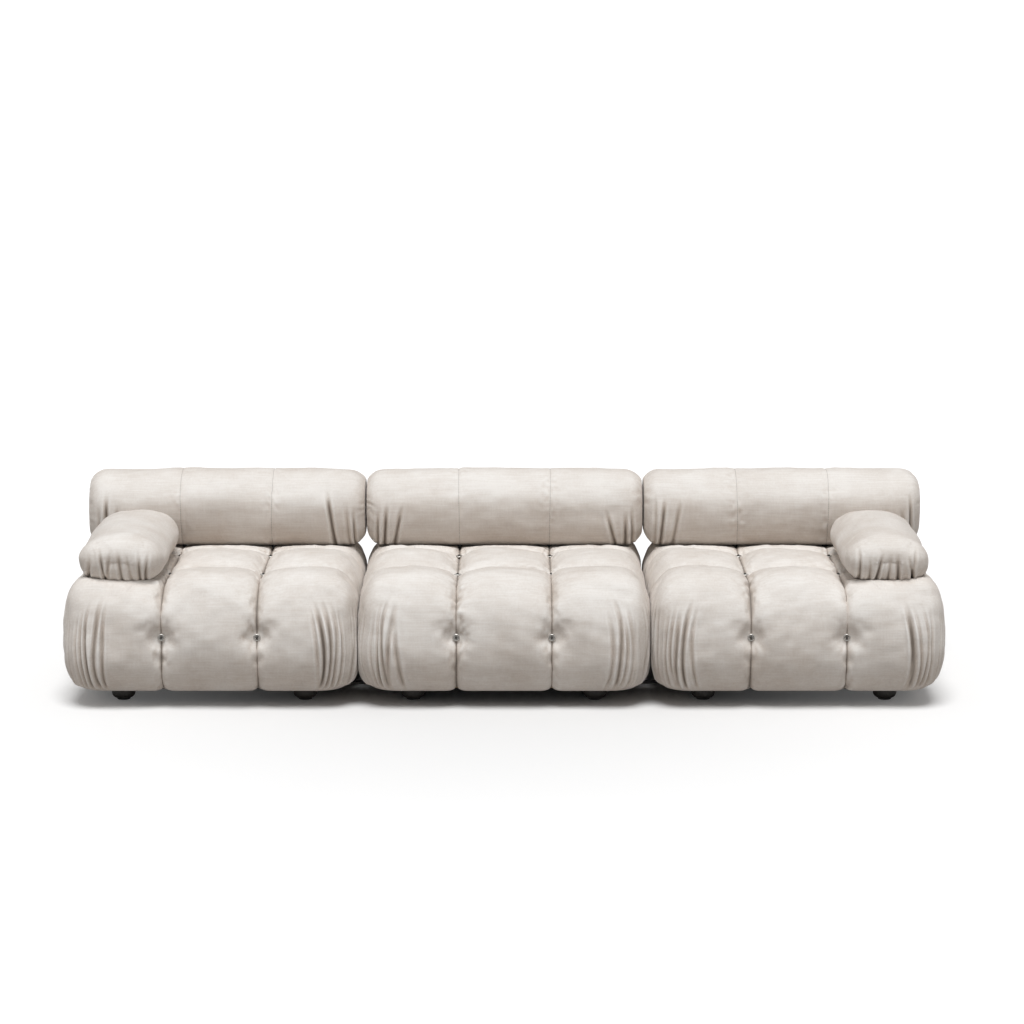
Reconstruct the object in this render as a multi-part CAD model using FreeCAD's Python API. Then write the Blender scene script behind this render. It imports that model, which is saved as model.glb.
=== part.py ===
"""A three-module sofa: tufted seat blocks on ball feet, with bolster backs and arms that lift off.

Millimetres. +X runs along the sofa to the right as seen from the front, +Y to the rear, +Z up.
The origin is on the floor under the middle of the sofa.
"""

import FreeCAD, Part
import math
import os

from FreeCAD import Vector

# Seat block, outside
SEAT_WIDTH = 922.0
SEAT_DEPTH = 920.0
MODULE_GAP = 3.0
SEAT_UNDERSIDE = 48.0
SEAT_MID = 200.0
CHANNEL_FLOOR = 372.0
SEAT_CROWN = 428.0
BOTTOM_ROUND = 85.0
TOP_ROUND = 165.0
FRONT_FULLNESS = 2.2
SIDE_FULLNESS = 3.4
SIDE_CROWN = 5.0
CROWN_SHARE = 0.05

# Tufting grid: three by three pillows, with channels between them on the top and down all four sides
PILLOW_WIDTH = 300.0
CHANNEL_WIDTH = 2.0
PILLOW_ROUND = 110.0
PILLOW_ROOT = 20.0
TUFT_CORNER = 30.0
SIDE_CHANNEL_ROUND = 55.0
MODULE_CORNER = 120.0
CORNER_SHARE = 0.42

# Heights at which the bolsters press the pillows flat
BACK_SEAT_LEVEL = 408.0
ARM_SEAT_LEVEL = 393.0

# Inside of the seat block
FRAME_WIDTH = 690.0
FRAME_CORNER = 60.0
RAIL_WIDTH = 45.0
RAIL_HEIGHT = 40.0
CORNER_BLOCK = 110.0
DECK_THICKNESS = 15.0
FOAM_TOP = 330.0
FOAM_EDGE = 12.0
CORE_MARGIN = 15.0
CORE_LIFT = 10.0
DUST_COVER_THICKNESS = 1.0
DUST_COVER_LAP = 8.0

# Feet
FOOT_SPREAD = 290.0
FOOT_DIAMETER = 75.0
FOOT_NECK = 44.0
FOOT_BELLY_SHARE = 0.45
FOOT_FULLNESS = 0.75
FOOT_TURN = 0.34
GLIDE_DIAMETER = 42.0
GLIDE_HEIGHT = 5.0
BOLT_DIAMETER = 8.0
BOLT_IN_FOOT = 28.0

# Tufting ties
RING_DIAMETER = 24.0
RING_BAR = 5.0
RING_HEIGHT = 232.0
RING_STAND_OFF = 1.5
CORD_DIAMETER = 5.0
BEAD_DIAMETER = 9.0
ANCHOR_DIAMETER = 40.0
ANCHOR_THICKNESS = 3.0
ANCHOR_DEPTH = 15.0
WEB_THICKNESS = 1.5

# Back bolster
BACK_LENGTH = 919.0
BACK_HEIGHT = 228.0
BACK_THICKNESS = 258.0
BACK_REAR_MARGIN = 4.0
BACK_END_ROUND = 62.0
BACK_SEAM_DRAW = 3.0
BACK_SEAM_WIDTH = 3.0
BACK_SQUARENESS = 2.7
BACK_WALL = 45.0
BOARD_THICKNESS = 12.0
BOARD_MARGIN = 20.0

# Arm bolster
ARM_LENGTH = 560.0
ARM_WIDTH = 268.0
ARM_HEIGHT = 150.0
ARM_BACK_GAP = 6.0
ARM_OFFSET = 285.0
ARM_END_ROUND = 60.0
ARM_SQUARENESS = 2.6
ARM_WALL = 46.0
ARM_END_WALL = 18.0

# Stay rods that carry the bolsters, and their sockets in the seat block
STAY_DIAMETER = 16.0
STAY_SPREAD = 150.0
STAY_REACH = 190.0
STAY_SET_FORWARD = 20.0
STAY_PLATE_WIDTH = 56.0
STAY_PLATE_HEIGHT = 95.0
STAY_PLATE_THICKNESS = 5.0
ARM_PLATE_HEIGHT = 50.0
SOCKET_WALL = 2.0
SOCKET_FLANGE = 60.0
SOCKET_FLANGE_THICKNESS = 4.0
SOCKET_COLLAR = 28.0
SOCKET_COLLAR_THICKNESS = 3.0

# Links between modules: a fork on the centre module takes a pin on its neighbour
LINK_SPREAD = 200.0
LINK_WIDTH = 40.0
LINK_THICKNESS = 4.0
LINK_ROOT = 260.0
PIN_DIAMETER = 10.0
PIN_LENGTH = 21.0
PIN_TIP = 1.0
PIN_INSET = 85.0
PIN_EDGE = 12.0
FORK_DROP = 13.0
FORK_BEND = 30.0
FORK_TIP = 20.0

# Clearances
SOFT_CLEARANCE = 0.3
REST_CLEARANCE = 0.8
RUNNING_CLEARANCE = 0.3
HOLE_CLEARANCE = 0.5
CUT_PAST = 1.0

# Derived places
MODULE_PITCH = SEAT_WIDTH + MODULE_GAP
CHANNEL_AT = PILLOW_WIDTH / 2
DOME_BOTTOM = CHANNEL_FLOOR - PILLOW_ROOT
FRAME_HALF = FRAME_WIDTH / 2
RAIL_TOP = SEAT_UNDERSIDE + RAIL_HEIGHT
DECK_TOP = RAIL_TOP + DECK_THICKNESS
DUST_COVER_BOTTOM = SEAT_UNDERSIDE - DUST_COVER_THICKNESS
BACK_Y = SEAT_DEPTH / 2 - BACK_REAR_MARGIN - BACK_THICKNESS / 2
BACK_BOTTOM = BACK_SEAT_LEVEL + REST_CLEARANCE
BACK_Z = BACK_BOTTOM + BACK_HEIGHT / 2
BACK_FRONT = BACK_Y - BACK_THICKNESS / 2
BACK_STAY_Y = BACK_Y - STAY_SET_FORWARD
ARM_REAR = BACK_FRONT - ARM_BACK_GAP
ARM_FRONT = ARM_REAR - ARM_LENGTH
ARM_BOTTOM = ARM_SEAT_LEVEL + REST_CLEARANCE
ARM_Z = ARM_BOTTOM + ARM_HEIGHT / 2
STAY_BOTTOM = CHANNEL_FLOOR - STAY_REACH
STAY_RADIUS = STAY_DIAMETER / 2
SOCKET_BORE = STAY_RADIUS + RUNNING_CLEARANCE
SOCKET_OUTER = SOCKET_BORE + SOCKET_WALL
COLLAR_RADIUS = SOCKET_COLLAR / 2
COLLAR_BOTTOM = CHANNEL_FLOOR + HOLE_CLEARANCE
COLLAR_TOP = COLLAR_BOTTOM + SOCKET_COLLAR_THICKNESS
RING_RADIUS = RING_DIAMETER / 2
CORD_HOLE = CORD_DIAMETER / 2 + HOLE_CLEARANCE
PIN_RADIUS = PIN_DIAMETER / 2
PIN_AT = SEAT_WIDTH / 2 - PIN_INSET + MODULE_GAP / 2
LINK_TOP = DUST_COVER_BOTTOM
LINK_BOTTOM = LINK_TOP - LINK_THICKNESS

MODULES = {"left": -MODULE_PITCH, "centre": 0.0, "right": MODULE_PITCH}
ARM_SIDES = {"left": -1, "centre": 0, "right": 1}
LOFT_DEGREE = 3
X_AXIS = Vector(1, 0, 0)
Y_AXIS = Vector(0, 1, 0)
Z_AXIS = Vector(0, 0, 1)


# Small building blocks


def arc(start, middle, end):
    return Part.Arc(start, middle, end).toShape()


def box(x_range, y_range, z_range):
    """A block between two limits in each direction, given in either order."""
    (x0, x1), (y0, y1), (z0, z1) = sorted(x_range), sorted(y_range), sorted(z_range)
    return Part.makeBox(x1 - x0, y1 - y0, z1 - z0, Vector(x0, y0, z0))


def cylinder(radius, start, end):
    axis = end - start
    return Part.makeCylinder(radius, axis.Length, start, axis)


def rounded_square(half, corner, z0, z1):
    block = box((-half, half), (-half, half), (z0, z1))
    upright = [e for e in block.Edges if abs(e.tangentAt(e.FirstParameter).z) > 0.99]
    return block.makeFillet(corner, upright)


def grid(spacing):
    return [Vector(x, y, 0) for x in (-spacing, spacing) for y in (-spacing, spacing)]


def group(solids):
    return Part.makeCompound(list(solids))


# Seat cover: nine pillows on a quilted core


def ellipse_inset(depth, share, fullness=2.0):
    """How far a quarter ellipse of that depth has turned in at a share of its height; fuller is squarer."""
    return depth * (1 - max(0.0, 1 - share ** fullness) ** (1 / fullness))


def side_inset(z, fullness):
    """How far a side with an upper part that full lies inside the block's widest outline at height z."""
    if z < SEAT_MID:
        return ellipse_inset(BOTTOM_ROUND, (SEAT_MID - z) / (SEAT_MID - SEAT_UNDERSIDE))
    return ellipse_inset(TOP_ROUND, (z - SEAT_MID) / (SEAT_CROWN - SEAT_MID), fullness)


def channel_inset(z):
    """How far a pillow's inner side lies from the channel's middle plane at height z."""
    rise = max(0.0, z - CHANNEL_FLOOR) / (SEAT_CROWN - CHANNEL_FLOOR)
    return CHANNEL_WIDTH / 2 + ellipse_inset(PILLOW_ROUND, rise)


def pillow_span(place, width, fullness, z):
    """The low and high limit of a pillow across one direction. Place is -1, 0 or 1 on the grid."""
    inner = CHANNEL_AT - channel_inset(z)
    if place == 0:
        return -inner, inner
    near = CHANNEL_AT + channel_inset(z)
    far = width / 2 - side_inset(z, fullness)
    return (near, far) if place > 0 else (-far, -near)


def corner_radius(outer_sides, width, depth):
    nominal = (TUFT_CORNER, SIDE_CHANNEL_ROUND, MODULE_CORNER)[outer_sides]
    return min(nominal, CORNER_SHARE * min(width, depth))


def pillow_section(column, row, z):
    """A level slice of one pillow: crowned arcs where it faces outwards, lines where it faces a neighbour."""
    x0, x1 = pillow_span(column, SEAT_WIDTH, SIDE_FULLNESS, z)
    y0, y1 = pillow_span(row, SEAT_DEPTH, FRONT_FULLNESS, z)
    crown = min(SIDE_CROWN, CROWN_SHARE * min(x1 - x0, y1 - y0))
    crowns = {
        "front": crown * (row < 0),
        "right": crown * (column > 0),
        "rear": crown * (row > 0),
        "left": crown * (column < 0),
    }
    left, right = x0 + crowns["left"], x1 - crowns["right"]
    front, rear = y0 + crowns["front"], y1 - crowns["rear"]
    corners = [(left, front, "left", "front"), (right, front, "right", "front"),
               (right, rear, "right", "rear"), (left, rear, "left", "rear")]
    sides = ["front", "right", "rear", "left"]
    out = {"front": -Y_AXIS, "right": X_AXIS, "rear": Y_AXIS, "left": -X_AXIS}

    bends = []
    for x, y, across, along in corners:
        outer_sides = (crowns[across] > 0) + (crowns[along] > 0)
        r = corner_radius(outer_sides, right - left, rear - front)
        centre = Vector(x, y, z) - (out[across] + out[along]) * r
        tip = centre + (out[across] + out[along]).normalize() * r
        ends = {across: centre + out[across] * r, along: centre + out[along] * r}
        bends.append((ends, tip))

    edges = []
    for i, side in enumerate(sides):
        ends, tip = bends[i]
        previous = sides[i - 1]
        edges.append(arc(ends[previous], tip, ends[side]))
        start, end = ends[side], bends[(i + 1) % 4][0][side]
        if crowns[side]:
            edges.append(arc(start, (start + end) / 2 + out[side] * crowns[side], end))
        else:
            edges.append(Part.LineSegment(start, end).toShape())
    return Part.Wire(edges)


def column_levels():
    """Heights of a pillow's slices below the channels, closer together where the outline turns in."""
    low, high = SEAT_MID - SEAT_UNDERSIDE, DOME_BOTTOM - SEAT_MID
    turned = [SEAT_MID - low * math.sin(math.pi / 2 * i / 4) for i in (4, 3, 2, 1)]
    return turned + [SEAT_MID + high * i / 3 for i in range(4)]


def dome_levels(top):
    """Heights of a pillow's slices above the channels, at even steps round the curve of its crest."""
    rise = SEAT_CROWN - CHANNEL_FLOOR
    turn = math.asin(min(1.0, (top - CHANNEL_FLOOR) / rise))
    return [DOME_BOTTOM] + [CHANNEL_FLOOR + rise * math.sin(turn * i / 4) for i in range(5)]


def pillow_top(column, row, arm_side):
    if row > 0:
        return BACK_SEAT_LEVEL
    if arm_side and column == arm_side:
        return ARM_SEAT_LEVEL
    return SEAT_CROWN


def pillow_loft(column, row, levels):
    return Part.makeLoft([pillow_section(column, row, z) for z in levels], True, False, False, LOFT_DEGREE)


def pillow(column, row, arm_side):
    """One pillow: the crest, with a full-height column under it where it stands at the block's edge."""
    crest = pillow_loft(column, row, dome_levels(pillow_top(column, row, arm_side)))
    if column == 0 and row == 0:
        return crest
    return crest.fuse(pillow_loft(column, row, column_levels()))


def seat_cover(arm_side):
    """The quilted cover of one seat block, hollow for the foam and open underneath."""
    core_half = FRAME_HALF + CORE_MARGIN
    core_bottom = SEAT_UNDERSIDE + CORE_LIFT
    core = rounded_square(core_half, FRAME_CORNER + CORE_MARGIN, core_bottom, CHANNEL_FLOOR)
    pillows = [pillow(c, r, arm_side) for c in (-1, 0, 1) for r in (-1, 0, 1)]
    cover = core.multiFuse(pillows)
    cavity = rounded_square(
        FRAME_HALF + SOFT_CLEARANCE, FRAME_CORNER, SEAT_UNDERSIDE - CUT_PAST, FOAM_TOP + SOFT_CLEARANCE
    )
    cover = cover.cut(cavity)
    holes = [cylinder(CORD_HOLE, start, end) for start, end in tie_lines(seated=False)]
    for at in stay_places(arm_side):
        floor, top = at + Z_AXIS * CHANNEL_FLOOR, at + Z_AXIS * SEAT_CROWN
        holes.append(cylinder(SOCKET_OUTER + HOLE_CLEARANCE, at + Z_AXIS * STAY_BOTTOM, floor))
        holes.append(cylinder(COLLAR_RADIUS + HOLE_CLEARANCE, floor, top))
    return cover.cut(holes)


# Seat block, inside


def seat_foam(arm_side):
    """The foam block on the deck, bored for the ties and the stay sockets."""
    foam = rounded_square(FRAME_HALF, FRAME_CORNER, DECK_TOP, FOAM_TOP)
    rim = [e for e in foam.Edges if abs(e.CenterOfMass.z - FOAM_TOP) < 0.01]
    foam = foam.makeFillet(FOAM_EDGE, rim)
    bores = [cylinder(CORD_HOLE, start, end) for start, end in tie_lines(seated=True)]
    bores += [tie_anchor(start, end, SOFT_CLEARANCE) for start, end in side_tie_lines()]
    bores += [socket(at, SOFT_CLEARANCE).fuse(socket_bore(at)) for at in stay_places(arm_side)]
    return foam.cut(bores)


def deck_board():
    """The plywood deck under the foam, drilled for the tufting cords."""
    deck = rounded_square(FRAME_HALF, FRAME_CORNER, RAIL_TOP, DECK_TOP)
    return deck.cut([
        cylinder(CORD_HOLE, at + Z_AXIS * RAIL_TOP, at + Z_AXIS * DECK_TOP) for at in grid(CHANNEL_AT)
    ])


def base_frame():
    """Two side rails, two end rails and a middle rail, with a block in each corner for the foot."""
    half, inner = FRAME_HALF, FRAME_HALF - RAIL_WIDTH
    heights = (SEAT_UNDERSIDE, RAIL_TOP)
    outline = rounded_square(half, FRAME_CORNER, *heights)
    pieces = [box((s * half, s * inner), (-half, half), heights) for s in (-1, 1)]
    pieces += [box((-inner, inner), (s * half, s * inner), heights) for s in (-1, 1)]
    pieces.append(box((-RAIL_WIDTH / 2, RAIL_WIDTH / 2), (-inner, inner), heights))
    for sx in (-1, 1):
        for sy in (-1, 1):
            near = inner - CORNER_BLOCK
            pieces.append(box((sx * inner, sx * near), (sy * inner, sy * near), heights))
    bores = [foot_bolt(at) for at in grid(FOOT_SPREAD)]
    return group(piece.common(outline).cut(bores) for piece in pieces)


def dust_cover():
    """The cloth stapled under the frame, lapping the cover's turned-in edge."""
    sheet = rounded_square(
        FRAME_HALF + DUST_COVER_LAP, FRAME_CORNER, DUST_COVER_BOTTOM, SEAT_UNDERSIDE
    )
    return sheet.cut([foot_bolt(at) for at in grid(FOOT_SPREAD)])


# Feet


def foot_bolt(at):
    """A hanger bolt, screwed into the foot and the corner block; its threads fill their holes."""
    radius = BOLT_DIAMETER / 2
    return cylinder(radius, at + Z_AXIS * (DUST_COVER_BOTTOM - BOLT_IN_FOOT), at + Z_AXIS * RAIL_TOP)


def foot(at):
    """A turned ball foot, flat on top and underneath."""
    low, high = GLIDE_HEIGHT, DUST_COVER_BOTTOM
    belly = low + (high - low) * FOOT_BELLY_SHARE
    base, neck, wide = GLIDE_DIAMETER / 2, FOOT_NECK / 2, FOOT_DIAMETER / 2
    below = Vector(base + (wide - base) * FOOT_FULLNESS, 0, low + (belly - low) * FOOT_TURN)
    above = Vector(neck + (wide - neck) * FOOT_FULLNESS, 0, high - (high - belly) * FOOT_TURN)
    profile = Part.Wire([
        Part.LineSegment(Vector(0, 0, low), Vector(base, 0, low)).toShape(),
        arc(Vector(base, 0, low), below, Vector(wide, 0, belly)),
        arc(Vector(wide, 0, belly), above, Vector(neck, 0, high)),
        Part.LineSegment(Vector(neck, 0, high), Vector(0, 0, high)).toShape(),
        Part.LineSegment(Vector(0, 0, high), Vector(0, 0, low)).toShape(),
    ])
    turned = Part.Face(profile).revolve(Vector(), Z_AXIS, 360)
    turned.translate(at)
    return turned.cut(foot_bolt(at))


def glide(at):
    """A pad under the foot with an eased lower edge."""
    pad = Part.makeCylinder(GLIDE_DIAMETER / 2, GLIDE_HEIGHT, at)
    rim = [e for e in pad.Edges if abs(e.CenterOfMass.z) < 0.01]
    return pad.makeChamfer(GLIDE_HEIGHT / 5, rim)


# Tufting ties: a dished ring in the channel, a beaded cord through it, and an anchor disc at the inner end


def channel_recess(reach):
    """How deep the side channel lies below the pillows' faces, at a distance from its middle."""
    r = SIDE_CHANNEL_ROUND
    off = r + CHANNEL_WIDTH / 2 - reach
    return SIDE_CROWN + r - math.sqrt(r * r - off * off)


def ring_plane(width, fullness):
    """Distance of a side ring's middle plane from the module's centre."""
    face = width / 2 - side_inset(RING_HEIGHT, fullness)
    return face - channel_recess(RING_RADIUS) + RING_STAND_OFF


def side_tie_lines():
    """Inner and outer end of each cord that crosses a side: two on every side of the block."""
    lines = []
    front = (ring_plane(SEAT_DEPTH, FRONT_FULLNESS), Y_AXIS, X_AXIS)
    side = (ring_plane(SEAT_WIDTH, SIDE_FULLNESS), X_AXIS, Y_AXIS)
    for plane, out, across in (front, side):
        for direction in (-out, out):
            for at in (-CHANNEL_AT, CHANNEL_AT):
                base = across * at + Z_AXIS * RING_HEIGHT
                inner = base + direction * (FRAME_HALF - ANCHOR_DEPTH)
                lines.append((inner, base + direction * plane))
    return lines


def top_tie_lines(seated):
    """Inner and outer end of each cord that goes down through the deck where channels cross."""
    low = RAIL_TOP if seated else FOAM_TOP
    ring_z = CHANNEL_FLOOR + RING_BAR / 2
    return [(at + Z_AXIS * low, at + Z_AXIS * ring_z) for at in grid(CHANNEL_AT)]


def tie_lines(seated):
    return side_tie_lines() + top_tie_lines(seated)


def tuft_ring(start, end):
    """A dished washer: a round rim and a thin web behind it, bored for the cord."""
    axis = (end - start).normalize()
    rim = Part.makeTorus(RING_RADIUS - RING_BAR / 2, RING_BAR / 2, end, axis)
    back = end - axis * (RING_BAR / 2)
    web = cylinder(RING_RADIUS - RING_BAR / 2, back, back + axis * WEB_THICKNESS)
    bore = cylinder(CORD_HOLE, back - axis, end + axis * RING_BAR)
    return rim.fuse(web).cut(bore)


def tie_cord(start, end):
    """A cord from the anchor to a bead that sits in the ring's dish."""
    axis = (end - start).normalize()
    seat = end - axis * (RING_BAR / 2 - WEB_THICKNESS)
    bead_radius = BEAD_DIAMETER / 2
    bead_rise = math.sqrt(bead_radius ** 2 - CORD_HOLE ** 2)
    bead = Part.makeSphere(bead_radius, seat + axis * bead_rise)
    return cylinder(CORD_DIAMETER / 2, start, seat + axis * bead_rise).fuse(bead)


def tie_anchor(start, end, growth=0.0):
    axis = (end - start).normalize()
    low = start - axis * (ANCHOR_THICKNESS + growth)
    return cylinder(ANCHOR_DIAMETER / 2 + growth, low, start + axis * growth)


# Stay rods and sockets


def stay_places(arm_side):
    """Where the bolsters' rods go down into one seat block: two for the back, two for an arm."""
    places = [Vector(s * STAY_SPREAD, BACK_STAY_Y, 0) for s in (-1, 1)]
    if arm_side:
        places += [Vector(arm_side * ARM_OFFSET, s * CHANNEL_AT, 0) for s in (-1, 1)]
    return places


def socket(at, growth=0.0):
    """A steel tube from a flange on the deck up to a collar that shows in the channel."""
    flange = Part.makeCylinder(
        SOCKET_FLANGE / 2 + growth, SOCKET_FLANGE_THICKNESS + growth, at + Z_AXIS * DECK_TOP
    )
    tube = cylinder(SOCKET_OUTER + growth, at + Z_AXIS * DECK_TOP, at + Z_AXIS * COLLAR_TOP)
    collar = cylinder(COLLAR_RADIUS, at + Z_AXIS * COLLAR_BOTTOM, at + Z_AXIS * COLLAR_TOP)
    rim = [e for e in collar.Edges if abs(e.CenterOfMass.z - COLLAR_TOP) < 0.01]
    collar = collar.makeFillet(SOCKET_COLLAR_THICKNESS / 2, rim)
    return flange.fuse(tube).fuse(collar).cut(socket_bore(at))


def socket_bore(at):
    return cylinder(SOCKET_BORE, at + Z_AXIS * DECK_TOP, at + Z_AXIS * (COLLAR_TOP + CUT_PAST))


def stay(at, top, plate_height, facing):
    """A round rod with a flat plate welded along its upper end, on the side it is facing."""
    rod = cylinder(STAY_RADIUS, at + Z_AXIS * STAY_BOTTOM, at + Z_AXIS * top)
    tip = [e for e in rod.Edges if abs(e.CenterOfMass.z - STAY_BOTTOM) < 0.01]
    rod = rod.makeChamfer(STAY_RADIUS / 4, tip)
    near = at.y + facing * (STAY_RADIUS - STAY_PLATE_THICKNESS / 2)
    far = near + facing * STAY_PLATE_THICKNESS
    half = STAY_PLATE_WIDTH / 2
    plate = box((at.x - half, at.x + half), (near, far), (top - plate_height, top))
    return rod.fuse(plate)


# Back bolster


def superellipse_wire(centre, across, half_width, half_height, squareness):
    """A squarish round outline from eight arcs, upright in the plane of Z and the direction across."""
    def at(turn):
        c, s = math.cos(turn), math.sin(turn)
        reach = math.copysign(abs(c) ** (2 / squareness), c)
        rise = math.copysign(abs(s) ** (2 / squareness), s)
        return centre + across * (half_width * reach) + Z_AXIS * (half_height * rise)

    step = math.pi / 4
    return Part.Wire([
        arc(at((i - 0.5) * step), at(i * step), at((i + 0.5) * step)) for i in range(8)
    ])


def end_stations(length, end_round):
    """Distances from the bolster's middle, and how far the outline has turned in at each."""
    straight = length / 2 - end_round
    turned = (0.0, 0.2, 0.45, 0.68, 0.86, 0.97)
    return [(straight + end_round * s, ellipse_inset(end_round, s)) for s in turned]


def both_ways(stations):
    """The stations of one half, and their mirror images before them."""
    return [(-at, draw) for at, draw in reversed(stations) if at > 0] + stations


def straight_stations(length, end_round, count):
    straight = length / 2 - end_round
    return [(straight * i / count, 0.0) for i in range(count)]


def back_outline(x, draw):
    """The bolster's cross-section at x, drawn in all round."""
    depth, height = BACK_THICKNESS / 2 - draw, BACK_HEIGHT / 2 - draw
    return superellipse_wire(Vector(x, BACK_Y, BACK_Z), Y_AXIS, depth, height, BACK_SQUARENESS)


def back_seam(x):
    """A band round the bolster that leaves a sewn seam's groove when it is cut away."""
    left, right = x - BACK_SEAM_WIDTH / 2, x + BACK_SEAM_WIDTH / 2
    reach = max(BACK_THICKNESS, BACK_HEIGHT)
    slab = box((left, right), (BACK_Y - reach, BACK_Y + reach), (BACK_Z - reach, BACK_Z + reach))
    inside = Part.Face(back_outline(left, BACK_SEAM_DRAW)).extrude(X_AXIS * BACK_SEAM_WIDTH)
    return slab.cut(inside)


def back_cover_form():
    """The bolster's outside: a squarish roll with two seams round it, rounded over at the ends."""
    half = straight_stations(BACK_LENGTH, BACK_END_ROUND, 6) + end_stations(BACK_LENGTH, BACK_END_ROUND)
    outlines = [back_outline(x, draw) for x, draw in both_ways(half)]
    roll = Part.makeLoft(outlines, True, False, False, LOFT_DEGREE)
    return roll.cut([back_seam(x) for x in (-STAY_SPREAD, STAY_SPREAD)])


def back_core_ranges(growth=0.0):
    wall = BACK_WALL - growth
    half_length = BACK_LENGTH / 2 - BACK_END_ROUND + growth
    half_depth = BACK_THICKNESS / 2 - wall
    half_height = BACK_HEIGHT / 2 - wall
    return (
        (-half_length, half_length),
        (BACK_Y - half_depth, BACK_Y + half_depth),
        (BACK_Z - half_height, BACK_Z + half_height),
    )


def back_cover():
    cover = back_cover_form().cut(box(*back_core_ranges(SOFT_CLEARANCE)))
    return cover.cut(back_stay_bores())


def back_stay_bores():
    radius = STAY_RADIUS + HOLE_CLEARANCE
    return [
        cylinder(radius, Vector(x, BACK_STAY_Y, STAY_BOTTOM), Vector(x, BACK_STAY_Y, BACK_Z))
        for x in (-STAY_SPREAD, STAY_SPREAD)
    ]


def back_board(growth=0.0):
    """The stiffener inside the bolster, against the stays' plates."""
    x_range, _, (z0, z1) = back_core_ranges()
    near = BACK_STAY_Y + STAY_RADIUS + STAY_PLATE_THICKNESS / 2
    return box(
        (x_range[0] + BOARD_MARGIN - growth, x_range[1] - BOARD_MARGIN + growth),
        (near - growth, near + BOARD_THICKNESS + growth),
        (z0 - growth, z1 - BOARD_MARGIN + growth),
    )


def back_stays():
    top = back_core_ranges()[2][1] - BOARD_MARGIN - STAY_PLATE_THICKNESS
    return [
        stay(Vector(x, BACK_STAY_Y, 0), top, STAY_PLATE_HEIGHT, 1) for x in (-STAY_SPREAD, STAY_SPREAD)
    ]


def stay_room(stays):
    """The space a stay and its plate take up in the foam."""
    rooms = []
    for piece in stays:
        b = piece.BoundBox
        low = b.ZMax - STAY_PLATE_HEIGHT
        x, y = b.Center.x, b.YMin + STAY_RADIUS
        gap = SOFT_CLEARANCE
        rooms.append(cylinder(STAY_RADIUS + gap, Vector(x, y, b.ZMin), Vector(x, y, b.ZMax + gap)))
        rooms.append(box((b.XMin - gap, b.XMax + gap), (b.YMin, b.YMax + gap), (low - gap, b.ZMax + gap)))
    return rooms


def back_foam():
    foam = box(*back_core_ranges())
    return foam.cut([back_board(SOFT_CLEARANCE)] + stay_room(back_stays()))


# Arm bolster


def arm_cover_form(x):
    """The arm's outside: a flat roll along Y, rounded over at both ends."""
    half = straight_stations(ARM_LENGTH, ARM_END_ROUND, 4) + end_stations(ARM_LENGTH, ARM_END_ROUND)
    middle = (ARM_FRONT + ARM_REAR) / 2
    return Part.makeLoft([
        superellipse_wire(
            Vector(x, middle + y, ARM_Z), X_AXIS, ARM_WIDTH / 2 - draw, ARM_HEIGHT / 2 - draw, ARM_SQUARENESS
        )
        for y, draw in both_ways(half)
    ], True, False, False, LOFT_DEGREE)


def arm_core_ranges(x, growth=0.0):
    wall = ARM_WALL - growth
    half_width = ARM_WIDTH / 2 - wall
    half_height = ARM_HEIGHT / 2 - wall
    reach = ARM_END_WALL - growth
    return (
        (x - half_width, x + half_width),
        (ARM_FRONT + reach, ARM_REAR - reach),
        (ARM_Z - half_height, ARM_Z + half_height),
    )


def arm_stays(x):
    top = arm_core_ranges(x)[2][1] - STAY_PLATE_THICKNESS
    return [stay(Vector(x, s * CHANNEL_AT, 0), top, ARM_PLATE_HEIGHT, 1) for s in (-1, 1)]


def arm_cover(x):
    radius = STAY_RADIUS + HOLE_CLEARANCE
    bores = [
        cylinder(radius, Vector(x, s * CHANNEL_AT, STAY_BOTTOM), Vector(x, s * CHANNEL_AT, ARM_Z))
        for s in (-1, 1)
    ]
    return arm_cover_form(x).cut([box(*arm_core_ranges(x, SOFT_CLEARANCE))] + bores)


def arm_foam(x):
    return box(*arm_core_ranges(x)).cut(stay_room(arm_stays(x)))


# Links between modules


def link_pin(side, y):
    """A flat plate under the rail with a pin hanging from its end."""
    root, tip = LINK_ROOT, PIN_AT + PIN_EDGE
    plate = box(
        (side * root, side * tip),
        (y - LINK_WIDTH / 2, y + LINK_WIDTH / 2),
        (LINK_BOTTOM, LINK_TOP),
    )
    at = Vector(side * PIN_AT, y, 0)
    pin = cylinder(PIN_RADIUS, at + Z_AXIS * (LINK_BOTTOM - PIN_LENGTH), at + Z_AXIS * LINK_TOP)
    point = [e for e in pin.Edges if abs(e.CenterOfMass.z - (LINK_BOTTOM - PIN_LENGTH)) < 0.01]
    return plate.fuse(pin.makeChamfer(PIN_TIP, point))


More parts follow.
